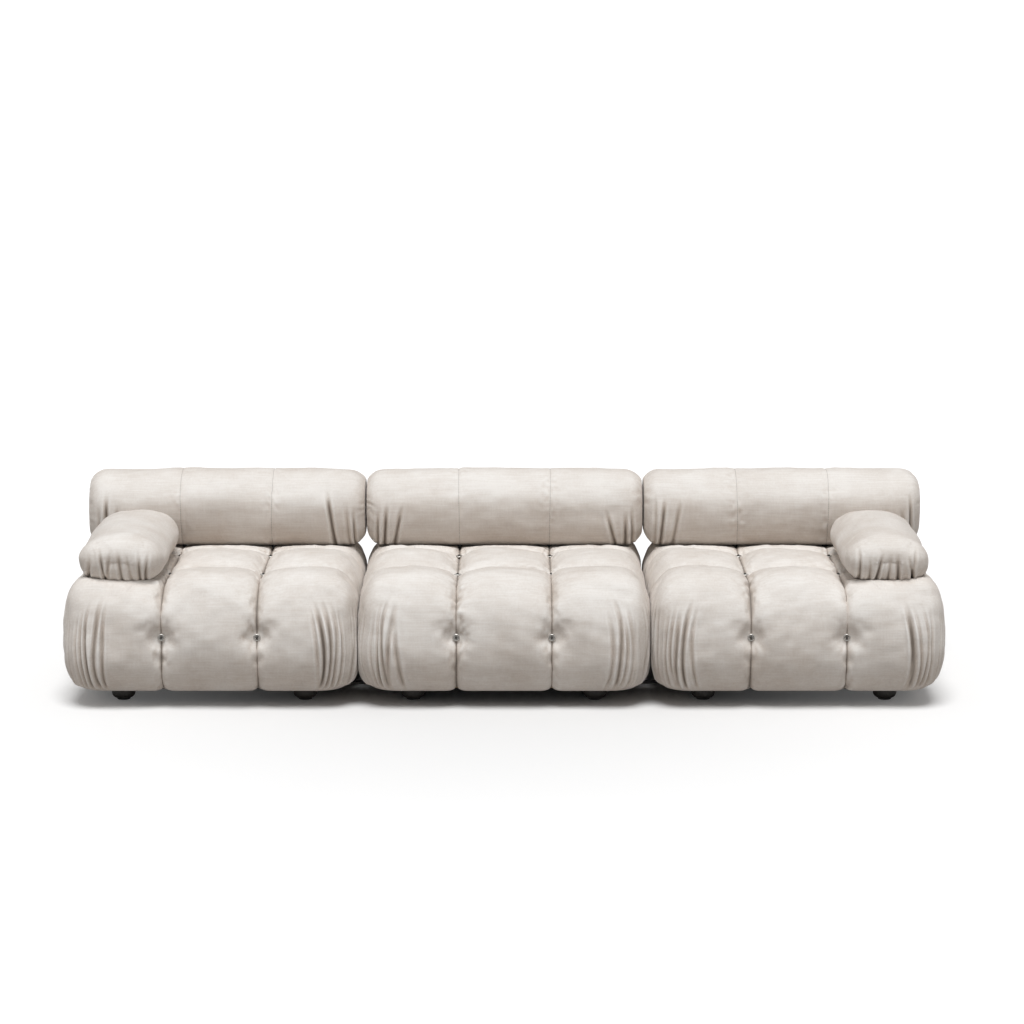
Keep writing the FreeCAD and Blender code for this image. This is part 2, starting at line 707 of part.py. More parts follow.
def link_fork(side, y):
    """A plate joggled down under the neighbour's pin plate, with a slot open at its outer end."""
    slot_at = MODULE_PITCH - PIN_AT
    tip = slot_at + FORK_TIP
    bend = FRAME_HALF + DUST_COVER_LAP - FORK_BEND
    low_top = LINK_BOTTOM - FORK_DROP + LINK_THICKNESS
    outline = [
        (LINK_ROOT, LINK_TOP), (bend, LINK_TOP), (bend + FORK_BEND, low_top), (tip, low_top),
        (tip, low_top - LINK_THICKNESS), (bend + FORK_BEND - LINK_THICKNESS, low_top - LINK_THICKNESS),
        (bend - LINK_THICKNESS, LINK_BOTTOM), (LINK_ROOT, LINK_BOTTOM),
    ]
    points = [Vector(side * x, y - LINK_WIDTH / 2, z) for x, z in outline]
    plate = Part.Face(Part.makePolygon(points + points[:1])).extrude(Y_AXIS * LINK_WIDTH)
    radius = PIN_RADIUS + RUNNING_CLEARANCE
    low, high = low_top - LINK_THICKNESS - CUT_PAST, low_top + CUT_PAST
    end = cylinder(radius, Vector(side * slot_at, y, low), Vector(side * slot_at, y, high))
    mouth = box((side * slot_at, side * (tip + CUT_PAST)), (y - radius, y + radius), (low, high))
    return plate.cut([end, mouth])


def link_pieces(arm_side):
    maker = link_pin if arm_side else link_fork
    return group(maker(side, y) for side in (-1, 1) for y in (-LINK_SPREAD, LINK_SPREAD))


# The assembly


def module_pieces(arm_side):
    ties = side_tie_lines() + top_tie_lines(seated=True)
    return {
        "seat_cover": seat_cover(arm_side),
        "seat_foam": seat_foam(arm_side),
        "deck_board": deck_board(),
        "base_frame": base_frame(),
        "dust_cover": dust_cover(),
        "feet": group(foot(at) for at in grid(FOOT_SPREAD)),
        "foot_glides": group(glide(at) for at in grid(FOOT_SPREAD)),
        "foot_bolts": group(foot_bolt(at) for at in grid(FOOT_SPREAD)),
        "tuft_rings": group(tuft_ring(*line) for line in ties),
        "tie_cords": group(tie_cord(*line) for line in ties),
        "tie_anchors": group(tie_anchor(*line) for line in ties),
        "stay_sockets": group(socket(at) for at in stay_places(arm_side)),
        "link_pins" if arm_side else "link_forks": link_pieces(arm_side),
        "back_cover": back_cover(),
        "back_foam": back_foam(),
        "back_board": back_board(),
        "back_stays": group(back_stays()),
    }


def arm_pieces(x):
    return {"arm_cover": arm_cover(x), "arm_foam": arm_foam(x), "arm_stays": group(arm_stays(x))}


def main():
    os.makedirs("parts", exist_ok=True)
    for module, x in MODULES.items():
        arm_side = ARM_SIDES[module]
        pieces = module_pieces(arm_side)
        if arm_side:
            pieces.update(arm_pieces(arm_side * ARM_OFFSET))
        for name, shape in pieces.items():
            placed = shape.copy()
            placed.translate(Vector(x, 0, 0))
            placed.exportStep(f"parts/{module}_{name}.step")
            sound = all(solid.isValid() for solid in placed.Solids)
            print(module, name, len(placed.Solids), "solids", "valid" if sound else "NOT VALID")


main()
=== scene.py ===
# %% [markdown]
# # A modular sofa in pale grey cloth
# The rigid model is loaded first and stays as it is: three seat blocks, three back bolsters and two arm
# bolsters, each on a body of its own. Their covers are then remade over it as filled cloth. All lengths are
# in metres, the floor is at height zero, and the sitter faces towards negative Y.

# %% Load the fixed model
import math

import bmesh
import bpy
import numpy as np
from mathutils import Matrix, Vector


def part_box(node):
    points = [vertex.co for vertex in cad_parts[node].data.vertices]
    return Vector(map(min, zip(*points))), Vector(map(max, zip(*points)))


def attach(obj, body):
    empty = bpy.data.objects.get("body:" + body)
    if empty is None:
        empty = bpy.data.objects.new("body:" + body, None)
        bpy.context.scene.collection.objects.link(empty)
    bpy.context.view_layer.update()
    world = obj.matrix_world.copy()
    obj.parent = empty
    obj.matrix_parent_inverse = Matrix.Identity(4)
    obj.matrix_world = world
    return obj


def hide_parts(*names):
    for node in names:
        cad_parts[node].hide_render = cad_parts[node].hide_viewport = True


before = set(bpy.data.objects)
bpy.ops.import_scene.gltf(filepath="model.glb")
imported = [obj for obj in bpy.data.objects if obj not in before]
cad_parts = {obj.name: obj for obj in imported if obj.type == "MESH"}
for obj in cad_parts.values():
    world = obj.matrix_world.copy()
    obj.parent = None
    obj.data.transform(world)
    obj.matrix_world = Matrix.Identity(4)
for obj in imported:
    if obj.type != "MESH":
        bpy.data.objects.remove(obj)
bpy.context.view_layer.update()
scene = bpy.context.scene

# %% [markdown]
# ## Camera
# The photograph looks at the sofa from the front and a little above, through a long lens, so its lines
# hardly converge. A camera could be placed by eye, but an elevation and a distance from a point near the
# middle of the sofa are easier to fit: each of them moves one thing in the picture.

# %% Camera
ELEVATION = math.radians(10.5)
DISTANCE = 10.0
LENS = 108.0
AIM = np.array([0.025, 0.0, 0.552])


def aim_camera(aim, elevation, distance, lens):
    """Camera in front of the aim point: back along -Y and up by the elevation, turned to look at it."""
    camera = bpy.data.objects.new("camera", bpy.data.cameras.new("camera"))
    camera.data.lens = lens
    camera.data.sensor_width = 36.0
    camera.data.clip_end = 400.0
    camera.location = aim + distance * np.array([0.0, -math.cos(elevation), math.sin(elevation)])
    camera.rotation_euler = (math.pi / 2 - elevation, 0.0, 0.0)
    scene.collection.objects.link(camera)
    scene.camera = camera
    return camera


camera = aim_camera(AIM, ELEVATION, DISTANCE, LENS)
print("camera at", [round(c, 2) for c in camera.location])

# %% [markdown]
# ## Materials from nodes
# Every finish here is a small graph of nodes on the Principled shader. The graphs could be drawn by hand in
# the editor, but written out they can be read and changed line by line. A few helpers keep them short: they
# start a material, add a node with its values and links, do one step of arithmetic, or blend two colours.

# %% Node helpers
def new_material(name):
    """A material with its node tree and its Principled shader."""
    material = bpy.data.materials.new(name)
    material.use_nodes = True
    return material, material.node_tree, material.node_tree.nodes["Principled BSDF"]


def add_node(tree, kind, links=None, **values):
    """Add a node, set its properties or input values by name, and link its inputs."""
    node = tree.nodes.new(kind)
    for name, value in values.items():
        if hasattr(node, name):
            setattr(node, name, value)
        else:
            node.inputs[name.replace("_", " ")].default_value = value
    for name, socket in (links or {}).items():
        tree.links.new(socket, node.inputs[name])
    return node


def number(tree, operation, *terms):
    """One arithmetic step on sockets or plain numbers."""
    node = add_node(tree, "ShaderNodeMath", operation=operation)
    for slot, term in zip(node.inputs, terms):
        if isinstance(term, (int, float)):
            slot.default_value = term
        else:
            tree.links.new(term, slot)
    return node.outputs[0]


def blend_colours(tree, factor, first, second):
    """A colour between two, by a factor socket. Each colour is a tuple of three or a socket."""
    node = add_node(tree, "ShaderNodeMix", data_type="RGBA")
    tree.links.new(factor, node.inputs[0])
    for slot, colour in zip((node.inputs[6], node.inputs[7]), (first, second)):
        if isinstance(colour, tuple):
            slot.default_value = (*colour, 1.0)
        else:
            tree.links.new(colour, slot)
    return node.outputs[2]


def noise(tree, place, scale, detail=2.0, roughness=0.5):
    """Noise at a place socket; the scale is one number, or three to stretch it."""
    if isinstance(scale, tuple):
        place = add_node(tree, "ShaderNodeMapping", {"Vector": place}, Scale=scale).outputs[0]
        scale = 1.0
    node = add_node(
        tree, "ShaderNodeTexNoise", {"Vector": place}, Scale=scale, Detail=detail, Roughness=roughness
    )
    return node.outputs["Fac"]


def object_place(tree, shift=0.0):
    """Object coordinates, moved along by a shift so that like pieces differ."""
    place = add_node(tree, "ShaderNodeTexCoord").outputs["Object"]
    return add_node(tree, "ShaderNodeMapping", {"Vector": place}, Location=(shift, shift, shift)).outputs[0]


def add_bump(tree, shader, height, strength, distance):
    """Fine relief: a height socket turned into a slope for the light."""
    bump = add_node(tree, "ShaderNodeBump", {"Height": height}, Strength=strength, Distance=distance)
    tree.links.new(bump.outputs["Normal"], shader.inputs["Normal"])


# %% [markdown]
# ## Floor and light
# The floor is plain and pale. The camera sees it nearly white, while the light that it throws back under
# the seats is that of a greyer floor, as in a studio with a dark surround. One broad lamp hangs above and
# leans to the front, and an even surround fills the shade. Several lamps could do the same, but one keeps
# the shadows simple, and its strength is low enough for the pale cloth to keep its tone.

# %% Floor
FLOOR_HALF = 150.0
FLOOR_SEEN = ((0.80, 0.80, 0.80), (0.83, 0.83, 0.83))
FLOOR_THROWN_BACK = (0.50, 0.485, 0.47)
# The glow for the camera starts some way from the middle, so the dimmer floor round the sofa is a painted
# soft shadow.
GLOW_FROM, GLOW_FULL, GLOW = 0.6, 2.6, 0.27


def floor_material():
    """Pale matt floor: faintly uneven, and glowing to white far away from the sofa; nearer to it the glow is
    less, which paints a soft shadow round the sofa.
    """
    material, tree, shader = new_material("floor_pale")
    place = object_place(tree)
    seen = add_node(tree, "ShaderNodeLightPath").outputs["Is Camera Ray"]
    uneven = noise(tree, place, 0.6, 3.0)
    pale = blend_colours(tree, uneven, *FLOOR_SEEN)
    tree.links.new(blend_colours(tree, seen, FLOOR_THROWN_BACK, pale), shader.inputs["Base Color"])
    # Painted soft shadow round the sofa: the glow grows with the distance from the middle, so the floor near
    # the sofa stays dimmer.
    away = add_node(tree, "ShaderNodeVectorMath", {0: place}, operation="LENGTH").outputs["Value"]
    glow = add_node(tree, "ShaderNodeMapRange", {"Value": away}, To_Max=GLOW,
                    From_Min=GLOW_FROM, From_Max=GLOW_FULL)
    shader.inputs["Emission Color"].default_value = (1, 1, 1, 1)
    tree.links.new(number(tree, "MULTIPLY", glow.outputs[0], seen), shader.inputs["Emission Strength"])
    shader.inputs["Roughness"].default_value = 0.9
    shader.inputs["Specular IOR Level"].default_value = 0.1
    return material


corners = [(x * FLOOR_HALF, y * FLOOR_HALF, 0.0) for x, y in ((-1, -1), (1, -1), (1, 1), (-1, 1))]
floor_mesh = bpy.data.meshes.new("floor")
floor_mesh.from_pydata(corners, [], [(0, 1, 2, 3)])
floor_mesh.materials.append(floor_material())
floor = bpy.data.objects.new("floor", floor_mesh)
scene.collection.objects.link(floor)
print("floor laid, at height zero")

# %% Lamp and surround
LAMP_STRENGTH = 2.7
LAMP_LEAN = 17.0
LAMP_SPREAD = 30.0
SURROUND = 0.25


def overhead_lamp(strength, lean, spread):
    """A wide sun from above that leans to the front by an angle in degrees."""
    lamp = bpy.data.objects.new("overhead", bpy.data.lights.new("overhead", "SUN"))
    lamp.data.energy = strength
    lamp.data.angle = math.radians(spread)
    lamp.rotation_euler = (math.radians(lean), 0.0, 0.0)
    scene.collection.objects.link(lamp)


def white_surround(strength):
    """Even light from all round; the camera, and rays in gloss and glass, see it as plain white."""
    world = bpy.data.worlds.new("studio")
    world.use_nodes = True
    tree = world.node_tree
    path = add_node(tree, "ShaderNodeLightPath").outputs
    seen = number(tree, "MAXIMUM", path["Is Camera Ray"], path["Is Glossy Ray"])
    seen = number(tree, "MAXIMUM", seen, path["Is Transmission Ray"])
    level = add_node(tree, "ShaderNodeMapRange", {"Value": seen}, To_Min=strength, To_Max=1.0)
    shade = tree.nodes["Background"]
    shade.inputs["Color"].default_value = (1, 1, 1, 1)
    tree.links.new(level.outputs[0], shade.inputs["Strength"])
    scene.world = world


overhead_lamp(LAMP_STRENGTH, LAMP_LEAN, LAMP_SPREAD)
white_surround(SURROUND)
scene.view_settings.view_transform = "Standard"
print("lamp", LAMP_STRENGTH, "surround", SURROUND)

# %% [markdown]
# ## Cover cloth
# The cover is a soft matt cloth in a pale warm grey. Uneven yarn shows as short streaks along and across,
# and brushed patches are cloudy. Faces that turn forward and up are painted paler, a painted highlight of
# the lamp in front and above, and the bottoms of folds and channels are painted darker, a painted shade.
# Sewn seams carry a line of stitches. A photograph of cloth could be laid on instead, but noise has no edges
# to hide and follows any form. Two values that are stored on each piece, fold and seam, say where the folds
# with their painted shade and the stitches are.

# %% Cover cloth
CLOTH_PALE = (0.83, 0.80, 0.765)
CLOTH_DEEP = (0.60, 0.53, 0.47)
# Dark tone of the painted shade in the bottoms of folds and channels.
CREASE_SHADE = (0.19, 0.16, 0.135)
THREAD_TONE = (0.16, 0.14, 0.125)
YARN_ALONG, YARN_ACROSS = 9.0, 170.0
STITCH_PITCH, STITCH_FULL, STITCH_EDGE = 0.007, 0.0006, 0.0022
# Shares of the tone: yarn, cloud, a painted highlight on faces turned forward and up, and painted shade in
# folds.
YARN_SHARE, CLOUD_SHARE, HIGHLIGHT_SHARE, FOLD_SHADE_SHARE = 0.70, 1.1, 0.55, -0.9
DEEP_BELOW, PALE_ABOVE = 0.95, 1.95
# Where the painted shade in folds begins, where it is full, and how far it goes.
CREASE_SHADE_FROM, CREASE_SHADE_FULL, CREASE_SHADE_MOST = 0.24, 0.80, 0.85
# The direction, forward and up towards the lamp, in which faces get the painted highlight.
HIGHLIGHT_FACING = (0.0, -0.70, 0.714)


def cover_cloth(name, shift):
    """Brushed cloth: cloudy tone, yarn three ways, a painted highlight on faces turned forward and up,
    painted shade in folds, stitches at the seams.
    """
    material, tree, shader = new_material(name)
    place = object_place(tree, shift)
    cloud = noise(tree, place, 7.0, 5.0, 0.6)
    long, fine = YARN_ALONG, YARN_ACROSS
    ways = ((long, fine, fine), (fine, long, fine), (fine, fine, long))
    streaks = [noise(tree, place, way, 3.0, 0.65) for way in ways]
    yarn = number(tree, "MULTIPLY_ADD", number(tree, "ADD", streaks[1], streaks[2]), 0.5, streaks[0])
    fold = add_node(tree, "ShaderNodeAttribute", attribute_name="fold").outputs["Fac"]
    seam = add_node(tree, "ShaderNodeAttribute", attribute_name="seam").outputs["Fac"]
    # Painted highlight: the more a face turns forward and up, towards the lamp, the paler it is made.
    facing = add_node(tree, "ShaderNodeNewGeometry").outputs["Normal"]
    painted_highlight = add_node(tree, "ShaderNodeVectorMath", {0: facing}, operation="DOT_PRODUCT")
    painted_highlight.inputs[1].default_value = HIGHLIGHT_FACING
    painted_highlight = number(tree, "POWER", number(tree, "MAXIMUM", painted_highlight.outputs["Value"], 0.0), 3.0)

    tone = number(tree, "MULTIPLY_ADD", yarn, YARN_SHARE, number(tree, "MULTIPLY", cloud, CLOUD_SHARE))
    tone = number(tree, "MULTIPLY_ADD", painted_highlight, HIGHLIGHT_SHARE, tone)
    # Painted shade: the tone falls in folds and channels, and rises a little on the ridges beside them.
    tone = number(tree, "MULTIPLY_ADD", fold, FOLD_SHADE_SHARE, tone)
    level = add_node(tree, "ShaderNodeMapRange", {"Value": tone}, From_Min=DEEP_BELOW, From_Max=PALE_ABOVE)
    colour = blend_colours(tree, level.outputs[0], CLOTH_DEEP, CLOTH_PALE)
    # Painted shade: the bottoms of folds and channels are blended towards the dark crease tone.
    deep = add_node(tree, "ShaderNodeMapRange", {"Value": fold}, To_Max=CREASE_SHADE_MOST,
                    From_Min=CREASE_SHADE_FROM, From_Max=CREASE_SHADE_FULL)
    colour = blend_colours(tree, deep.outputs[0], colour, CREASE_SHADE)

    axes = add_node(tree, "ShaderNodeSeparateXYZ", {0: place}).outputs
    along = number(tree, "ADD", number(tree, "ADD", axes["X"], axes["Y"]), axes["Z"])
    dash = number(tree, "SINE", number(tree, "MULTIPLY", along, 2 * math.pi / STITCH_PITCH))
    near = add_node(tree, "ShaderNodeMapRange", {"Value": seam}, To_Min=1.0, To_Max=0.0,
                    From_Min=STITCH_FULL, From_Max=STITCH_EDGE)
    thread = number(tree, "MULTIPLY", near.outputs[0], number(tree, "MULTIPLY_ADD", dash, 0.2, 0.6))
    colour = blend_colours(tree, thread, colour, THREAD_TONE)
    tree.links.new(colour, shader.inputs["Base Color"])

    nap = noise(tree, place, 900.0, 2.0)
    rough = number(tree, "MULTIPLY_ADD", nap, 0.6, yarn)
    rough = number(tree, "MULTIPLY_ADD", thread, -1.5, rough)
    add_bump(tree, shader, rough, 0.30, 0.0012)
    shader.inputs["Roughness"].default_value = 0.92
    shader.inputs["Specular IOR Level"].default_value = 0.18
    shader.inputs["Sheen Weight"].default_value = 0.22
    shader.inputs["Sheen Roughness"].default_value = 0.45
    return material


print("cloth tones", CLOTH_PALE, CLOTH_DEEP)

# %% [markdown]
# ## Grids to meshes
# A soft form is described by rings of points, each ring closed and all with the same count. Neighbouring
# rings are joined by quads, and a seat's top is a square patch on the same lines. A block could be remeshed
# into even cells instead, but here the lines of the grid can follow the sewn channels. What is still open,
# the underside of a seat or the middle of a roll's end, is closed by one flat face after the subdivision.

# %% Grids to meshes
def ring_quads(rings, around):
    """Quads between neighbouring closed rings, as rows of four point numbers."""
    i, j = np.meshgrid(np.arange(rings - 1), np.arange(around), indexing="ij")
    k = (j + 1) % around
    corners = [i * around + j, i * around + k, (i + 1) * around + k, (i + 1) * around + j]
    return np.stack(corners, -1).reshape(-1, 4).tolist()


def build_mesh(name, points, faces):
    """A mesh from an array of points and rows of point numbers."""
    mesh = bpy.data.meshes.new(name)
    mesh.from_pydata(points.tolist(), [], faces)
    mesh.update()
    return mesh


def read_points(mesh):
    """All points of a mesh as one array of three columns."""
    values = np.empty(len(mesh.vertices) * 3, dtype=np.float32)
    mesh.vertices.foreach_get("co", values)
    return values.reshape(-1, 3).astype(float)


def read_normals(mesh):
    """The outward direction at every point, as one array of three columns."""
    values = np.empty(len(mesh.vertices) * 3, dtype=np.float32)
    mesh.vertex_normals.foreach_get("vector", values)
    return values.reshape(-1, 3).astype(float)


def write_points(mesh, points):
    """Put an array of points back into the mesh."""
    mesh.vertices.foreach_set("co", np.ascontiguousarray(points, dtype=np.float32).ravel())
    mesh.update()


def store(mesh, name, values):
    """Keep one number for each point under a name."""
    attribute = mesh.attributes.get(name) or mesh.attributes.new(name, "FLOAT", "POINT")
    attribute.data.foreach_set("value", np.ascontiguousarray(values, dtype=np.float32))


def recall(mesh, name):
    """The numbers that were kept under a name."""
    values = np.empty(len(mesh.vertices), dtype=np.float32)
    mesh.attributes[name].data.foreach_get("value", values)
    return values.astype(float)


def subdivided(mesh):
    """The mesh after one smooth subdivision, with its stored values carried over and its ends closed."""
    carrier = bpy.data.objects.new("carrier", mesh)
    scene.collection.objects.link(carrier)
    step = carrier.modifiers.new("finer", "SUBSURF")
    step.levels = step.render_levels = 1
    graph = bpy.context.evaluated_depsgraph_get()
    result = bpy.data.meshes.new_from_object(carrier.evaluated_get(graph))
    bpy.data.objects.remove(carrier)
    shell = bmesh.new()
    shell.from_mesh(result)
    bmesh.ops.holes_fill(shell, edges=[e for e in shell.edges if e.is_boundary], sides=0)
    shell.to_mesh(result)
    shell.free()
    return result


def stretches(*stops_and_steps):
    """Numbers from stop to stop, evenly spaced in each stretch: stop, step, stop, step, stop and so on."""
    stops, steps = stops_and_steps[0::2], stops_and_steps[1::2]
    spans = zip(stops, stops[1:], steps)
    runs = [np.linspace(a, b, max(1, round((b - a) / h)), endpoint=False) for a, b, h in spans]
    return np.concatenate(runs + [stops[-1:]])


def both_sides(half):
    """A rising line of numbers from zero, with its mirror image before it."""
    return np.concatenate([-half[:0:-1], half])


# %% [markdown]
# ## Cloth under pressure
# The skin is filled like a real cushion: its cloth is cut a little too large, the seams and rings are held,
# and pressure blows it out between them, so that it puckers along what is held. It could be sculpted, but
# cloth finds its own fullness. Each point's way levels off at a cap, which keeps the piece in its space.

# %% Cloth under pressure
def inflate(mesh, held, growth, cap, frames=11, pressure=4.0):
    """Run cloth with the held points fixed, then move each point along its way by cap x tanh(way / cap)."""
    start = read_points(mesh)
    puffed = bpy.data.objects.new("puffed", mesh)
    scene.collection.objects.link(puffed)
    group = puffed.vertex_groups.new(name="held")
    group.add(np.flatnonzero(held).tolist(), 1.0, "REPLACE")
    modifier = puffed.modifiers.new("cloth", "CLOTH")
    cloth = modifier.settings
    cloth.quality = 3
    cloth.mass = 0.3
    cloth.tension_stiffness = 12
    cloth.compression_stiffness = 6
    cloth.shear_stiffness = 4
    cloth.bending_stiffness = 0.2
    cloth.vertex_group_mass = "held"
    cloth.use_pressure = True
    cloth.uniform_pressure_force = pressure
    cloth.effector_weights.gravity = 0.0
    cloth.shrink_min = -growth
    cloth.shrink_max = -growth
    modifier.collision_settings.use_collision = False
    modifier.point_cache.frame_start = 1
    modifier.point_cache.frame_end = frames
    for step in range(1, frames + 1):
        scene.frame_set(step)
    graph = bpy.context.evaluated_depsgraph_get()
    moved = read_points(puffed.evaluated_get(graph).data) - start
    scene.frame_set(1)
    bpy.data.objects.remove(puffed)
    length = np.linalg.norm(moved, axis=1, keepdims=True)
    return start + moved * cap * np.tanh(length / cap) / np.maximum(length, 1e-9)


# %% [markdown]
# ## Folds
# Cloth that is drawn together falls into folds: a narrow groove with a soft ridge on either side. A finer
# simulation could make them, slowly and never in the same places. A fold here is that profile across a
# line, faded out along it, so each one stands where it is wanted. Unevenness is a sum of seeded waves.

# %% Folds and unevenness
RIDGE_HEIGHT, RIDGE_AT, RIDGE_WIDTH = 0.38, 2.1, 0.95


def fold_profile(distance, width):
    """Depth across a fold, 1 at its middle: a narrow bell, less a wider ring of ridge around it."""
    share = np.abs(distance) / width
    return np.exp(-share ** 2) - RIDGE_HEIGHT * np.exp(-((share - RIDGE_AT) / RIDGE_WIDTH) ** 2)


def fade(value, start, full):
    """Smooth step from 0 at start to 1 at full."""
    share = np.clip((value - start) / (full - start), 0, 1)
    return share * share * (3 - 2 * share)


def waves(points, wavelength, seed, count=14):
    """Smooth unevenness of about one unit: a sum of sine waves in seeded directions."""
    chance = np.random.default_rng(seed)
    directions = chance.normal(size=(count, 3))
    directions /= np.linalg.norm(directions, axis=1, keepdims=True)
    pitch = 2 * np.pi / (wavelength * chance.uniform(0.7, 1.5, count))
    phases = chance.uniform(0, 2 * np.pi, count)
    return np.sin(points @ (directions * pitch[:, None]).T + phases).sum(1) / math.sqrt(count / 2)


def unevenness(points, large, small, seed):
    """Waves of two scales, each given as a height and a wavelength."""
    return large[0] * waves(points, large[1], seed + 7) + small[0] * waves(points, small[1], seed + 9)


print("a fold one width from its middle:", round(float(fold_profile(1.0, 1.0)), 3))

# %% [markdown]
# ## Seat block: the form
# A seat is a soft block, wider in the middle of its height than at top and bottom. Its side is one curve,
# a quarter ellipse below and a fuller one above, taken round a square with round corners. A box could be
# rounded off, but on this form the lines of the side run on over the top, which is a square patch, so the
# sewn channels follow the lines of the grid and stay crisp.

# %% Seat sizes, from the model
def box_of(node):
    """Lowest and highest corner of a fixed piece."""
    low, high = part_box(node)
    return np.array(low), np.array(high)


seat_low, seat_high = box_of("centre_seat_cover")
SWELL, CROWN_SWELL = 0.007, 0.010
HALF_X, HALF_Y = (seat_high - seat_low)[:2] / 2 - SWELL
SEAT_BOTTOM, CROWN = seat_low[2], seat_high[2] - CROWN_SWELL
SEAT_MID = 0.200
LOWER_ROUND = np.array([0.046, 0.072])
UPPER_ROUND = np.array([0.150, 0.160])
FRONT_FULLNESS, SIDE_FULLNESS = 2.2, 3.8
CORNER = 0.105
CHANNEL = 0.150
GATHERED = 0.195
MODULE_AT = {name: sum(box_of(f"{name}_seat_cover"))[0] / 2 for name in ("left", "centre", "right")}
print("seat half sizes", round(HALF_X, 4), round(HALF_Y, 4), "crown", round(CROWN, 4), MODULE_AT)


# %% Seat form
PILLOW_STEP, CHANNEL_STEP, CORNER_STEP = 0.012, 0.0055, 0.0058
CHANNEL_MARGIN = 0.03
RINGS_BELOW, RINGS_ABOVE = 17, 29


def seat_line(half):
    """Grid lines across a seat: close together at the channels and the corners."""
    near, far = CHANNEL - CHANNEL_MARGIN, CHANNEL + CHANNEL_MARGIN
    return both_sides(stretches(0.0, PILLOW_STEP, near, CHANNEL_STEP, CHANNEL, CHANNEL_STEP, far, PILLOW_STEP,
                                half - GATHERED, CORNER_STEP, half))


def drawn_in(line, half, inset):
    """Lines of an outline drawn in by an inset: the middle pillow keeps its width, the outer ones shrink."""
    outer = np.maximum(np.abs(line) - CHANNEL, 0)
    outer = outer * (half - inset - CHANNEL) / (half - CHANNEL)
    return np.sign(line) * (np.minimum(np.abs(line), CHANNEL) + outer)


def corner_share(line, half):
    """0 along the straight of a side, rising to 1 at the corner."""
    return np.clip((np.abs(line) - (half - CORNER)) / CORNER, 0, 1)


def place_on_block(line_x, line_y, inset):
    """Plan position for grid lines x and y, each at its own inset, with the upright corners rounded."""
    round_off = CORNER / 4 * (corner_share(line_x, HALF_X) * corner_share(line_y, HALF_Y)) ** 2
    round_off = round_off * (HALF_X - inset[0] - CHANNEL) / (HALF_X - CHANNEL)
    x = drawn_in(line_x, HALF_X, inset[0])
    y = drawn_in(line_y, HALF_Y, inset[1])
    return x - np.sign(x) * round_off, y - np.sign(y) * round_off


def seat_block():
    """Plain block: rings from the underside up the side, and a square patch on top. The height goes with
    the sine of the turn and the inset with one less its cosine, each to a power above the middle."""
    xs, ys = seat_line(HALF_X), seat_line(HALF_Y)
    n, m = len(xs) - 1, len(ys) - 1
    line_x = np.concatenate([xs[:-1], np.full(m, HALF_X), xs[:0:-1], np.full(m, -HALF_X)])
    line_y = np.concatenate([np.full(n, -HALF_Y), ys[:-1], np.full(n, HALF_Y), ys[:0:-1]])
    toward_front = fade((HALF_X - np.abs(line_x)) - (HALF_Y - np.abs(line_y)), -CORNER, CORNER)
    power = 2 / (SIDE_FULLNESS + (FRONT_FULLNESS - SIDE_FULLNESS) * toward_front)

    low = np.linspace(-np.pi / 2, 0, RINGS_BELOW)[:-1, None]
    high = np.linspace(0, np.pi / 2, RINGS_ABOVE)[:, None]
    z = np.concatenate([
        SEAT_MID + (SEAT_MID - SEAT_BOTTOM) * np.sin(low) + 0 * power,
        SEAT_MID + (CROWN - SEAT_MID) * np.sin(high) ** power,
    ])
    insets = [
        np.concatenate([below * (1 - np.cos(low)) + 0 * power, above * (1 - np.abs(np.cos(high)) ** power)])
        for below, above in zip(LOWER_ROUND, UPPER_ROUND)
    ]
    x, y = place_on_block(line_x[None, :], line_y[None, :], insets)
    rings, around = z.shape
    sides = np.stack([x, y, z], -1).reshape(-1, 3)

    top_x, top_y = np.meshgrid(xs, ys, indexing="ij")
    cap_x, cap_y = place_on_block(top_x, top_y, UPPER_ROUND)
    cap = np.stack([cap_x, cap_y, np.full_like(cap_x, CROWN)], -1)[1:-1, 1:-1].reshape(-1, 3)

    last = (rings - 1) * around
    number_of = np.empty((n + 1, m + 1), dtype=int)
    number_of[1:-1, 1:-1] = rings * around + np.arange((n - 1) * (m - 1)).reshape(n - 1, m - 1)
    number_of[:-1, 0] = last + np.arange(n)
    number_of[-1, :-1] = last + n + np.arange(m)
    number_of[:0:-1, -1] = last + n + m + np.arange(n)
    number_of[0, :0:-1] = last + 2 * n + m + np.arange(m)
    a = number_of
    patch = np.stack([a[:-1, :-1], a[1:, :-1], a[1:, 1:], a[:-1, 1:]], -1).reshape(-1, 4).tolist()
    mesh = build_mesh("seat_block", np.concatenate([sides, cap]), ring_quads(rings, around) + patch)
    store(mesh, "line_x", np.concatenate([np.tile(line_x, rings), top_x[1:-1, 1:-1].ravel()]))
    store(mesh, "line_y", np.concatenate([np.tile(line_y, rings), top_y[1:-1, 1:-1].ravel()]))
    return mesh


# %% [markdown]
# ## Seat block: channels and rings
# Channels are sewn valleys with a sharp bottom. On top they are wide and deep, and they run on down the
# sides as narrower ones. A ring is tied down in each channel at mid height, and one where channels cross,
# and the cloth round it is drawn in. The valleys could be cut from the block, but a depth that is worked
# out for every point lets them widen and run into each other softly. Bolsters press the pillows that they
# stand on to the form of their own underside, so that the two meet in one line.

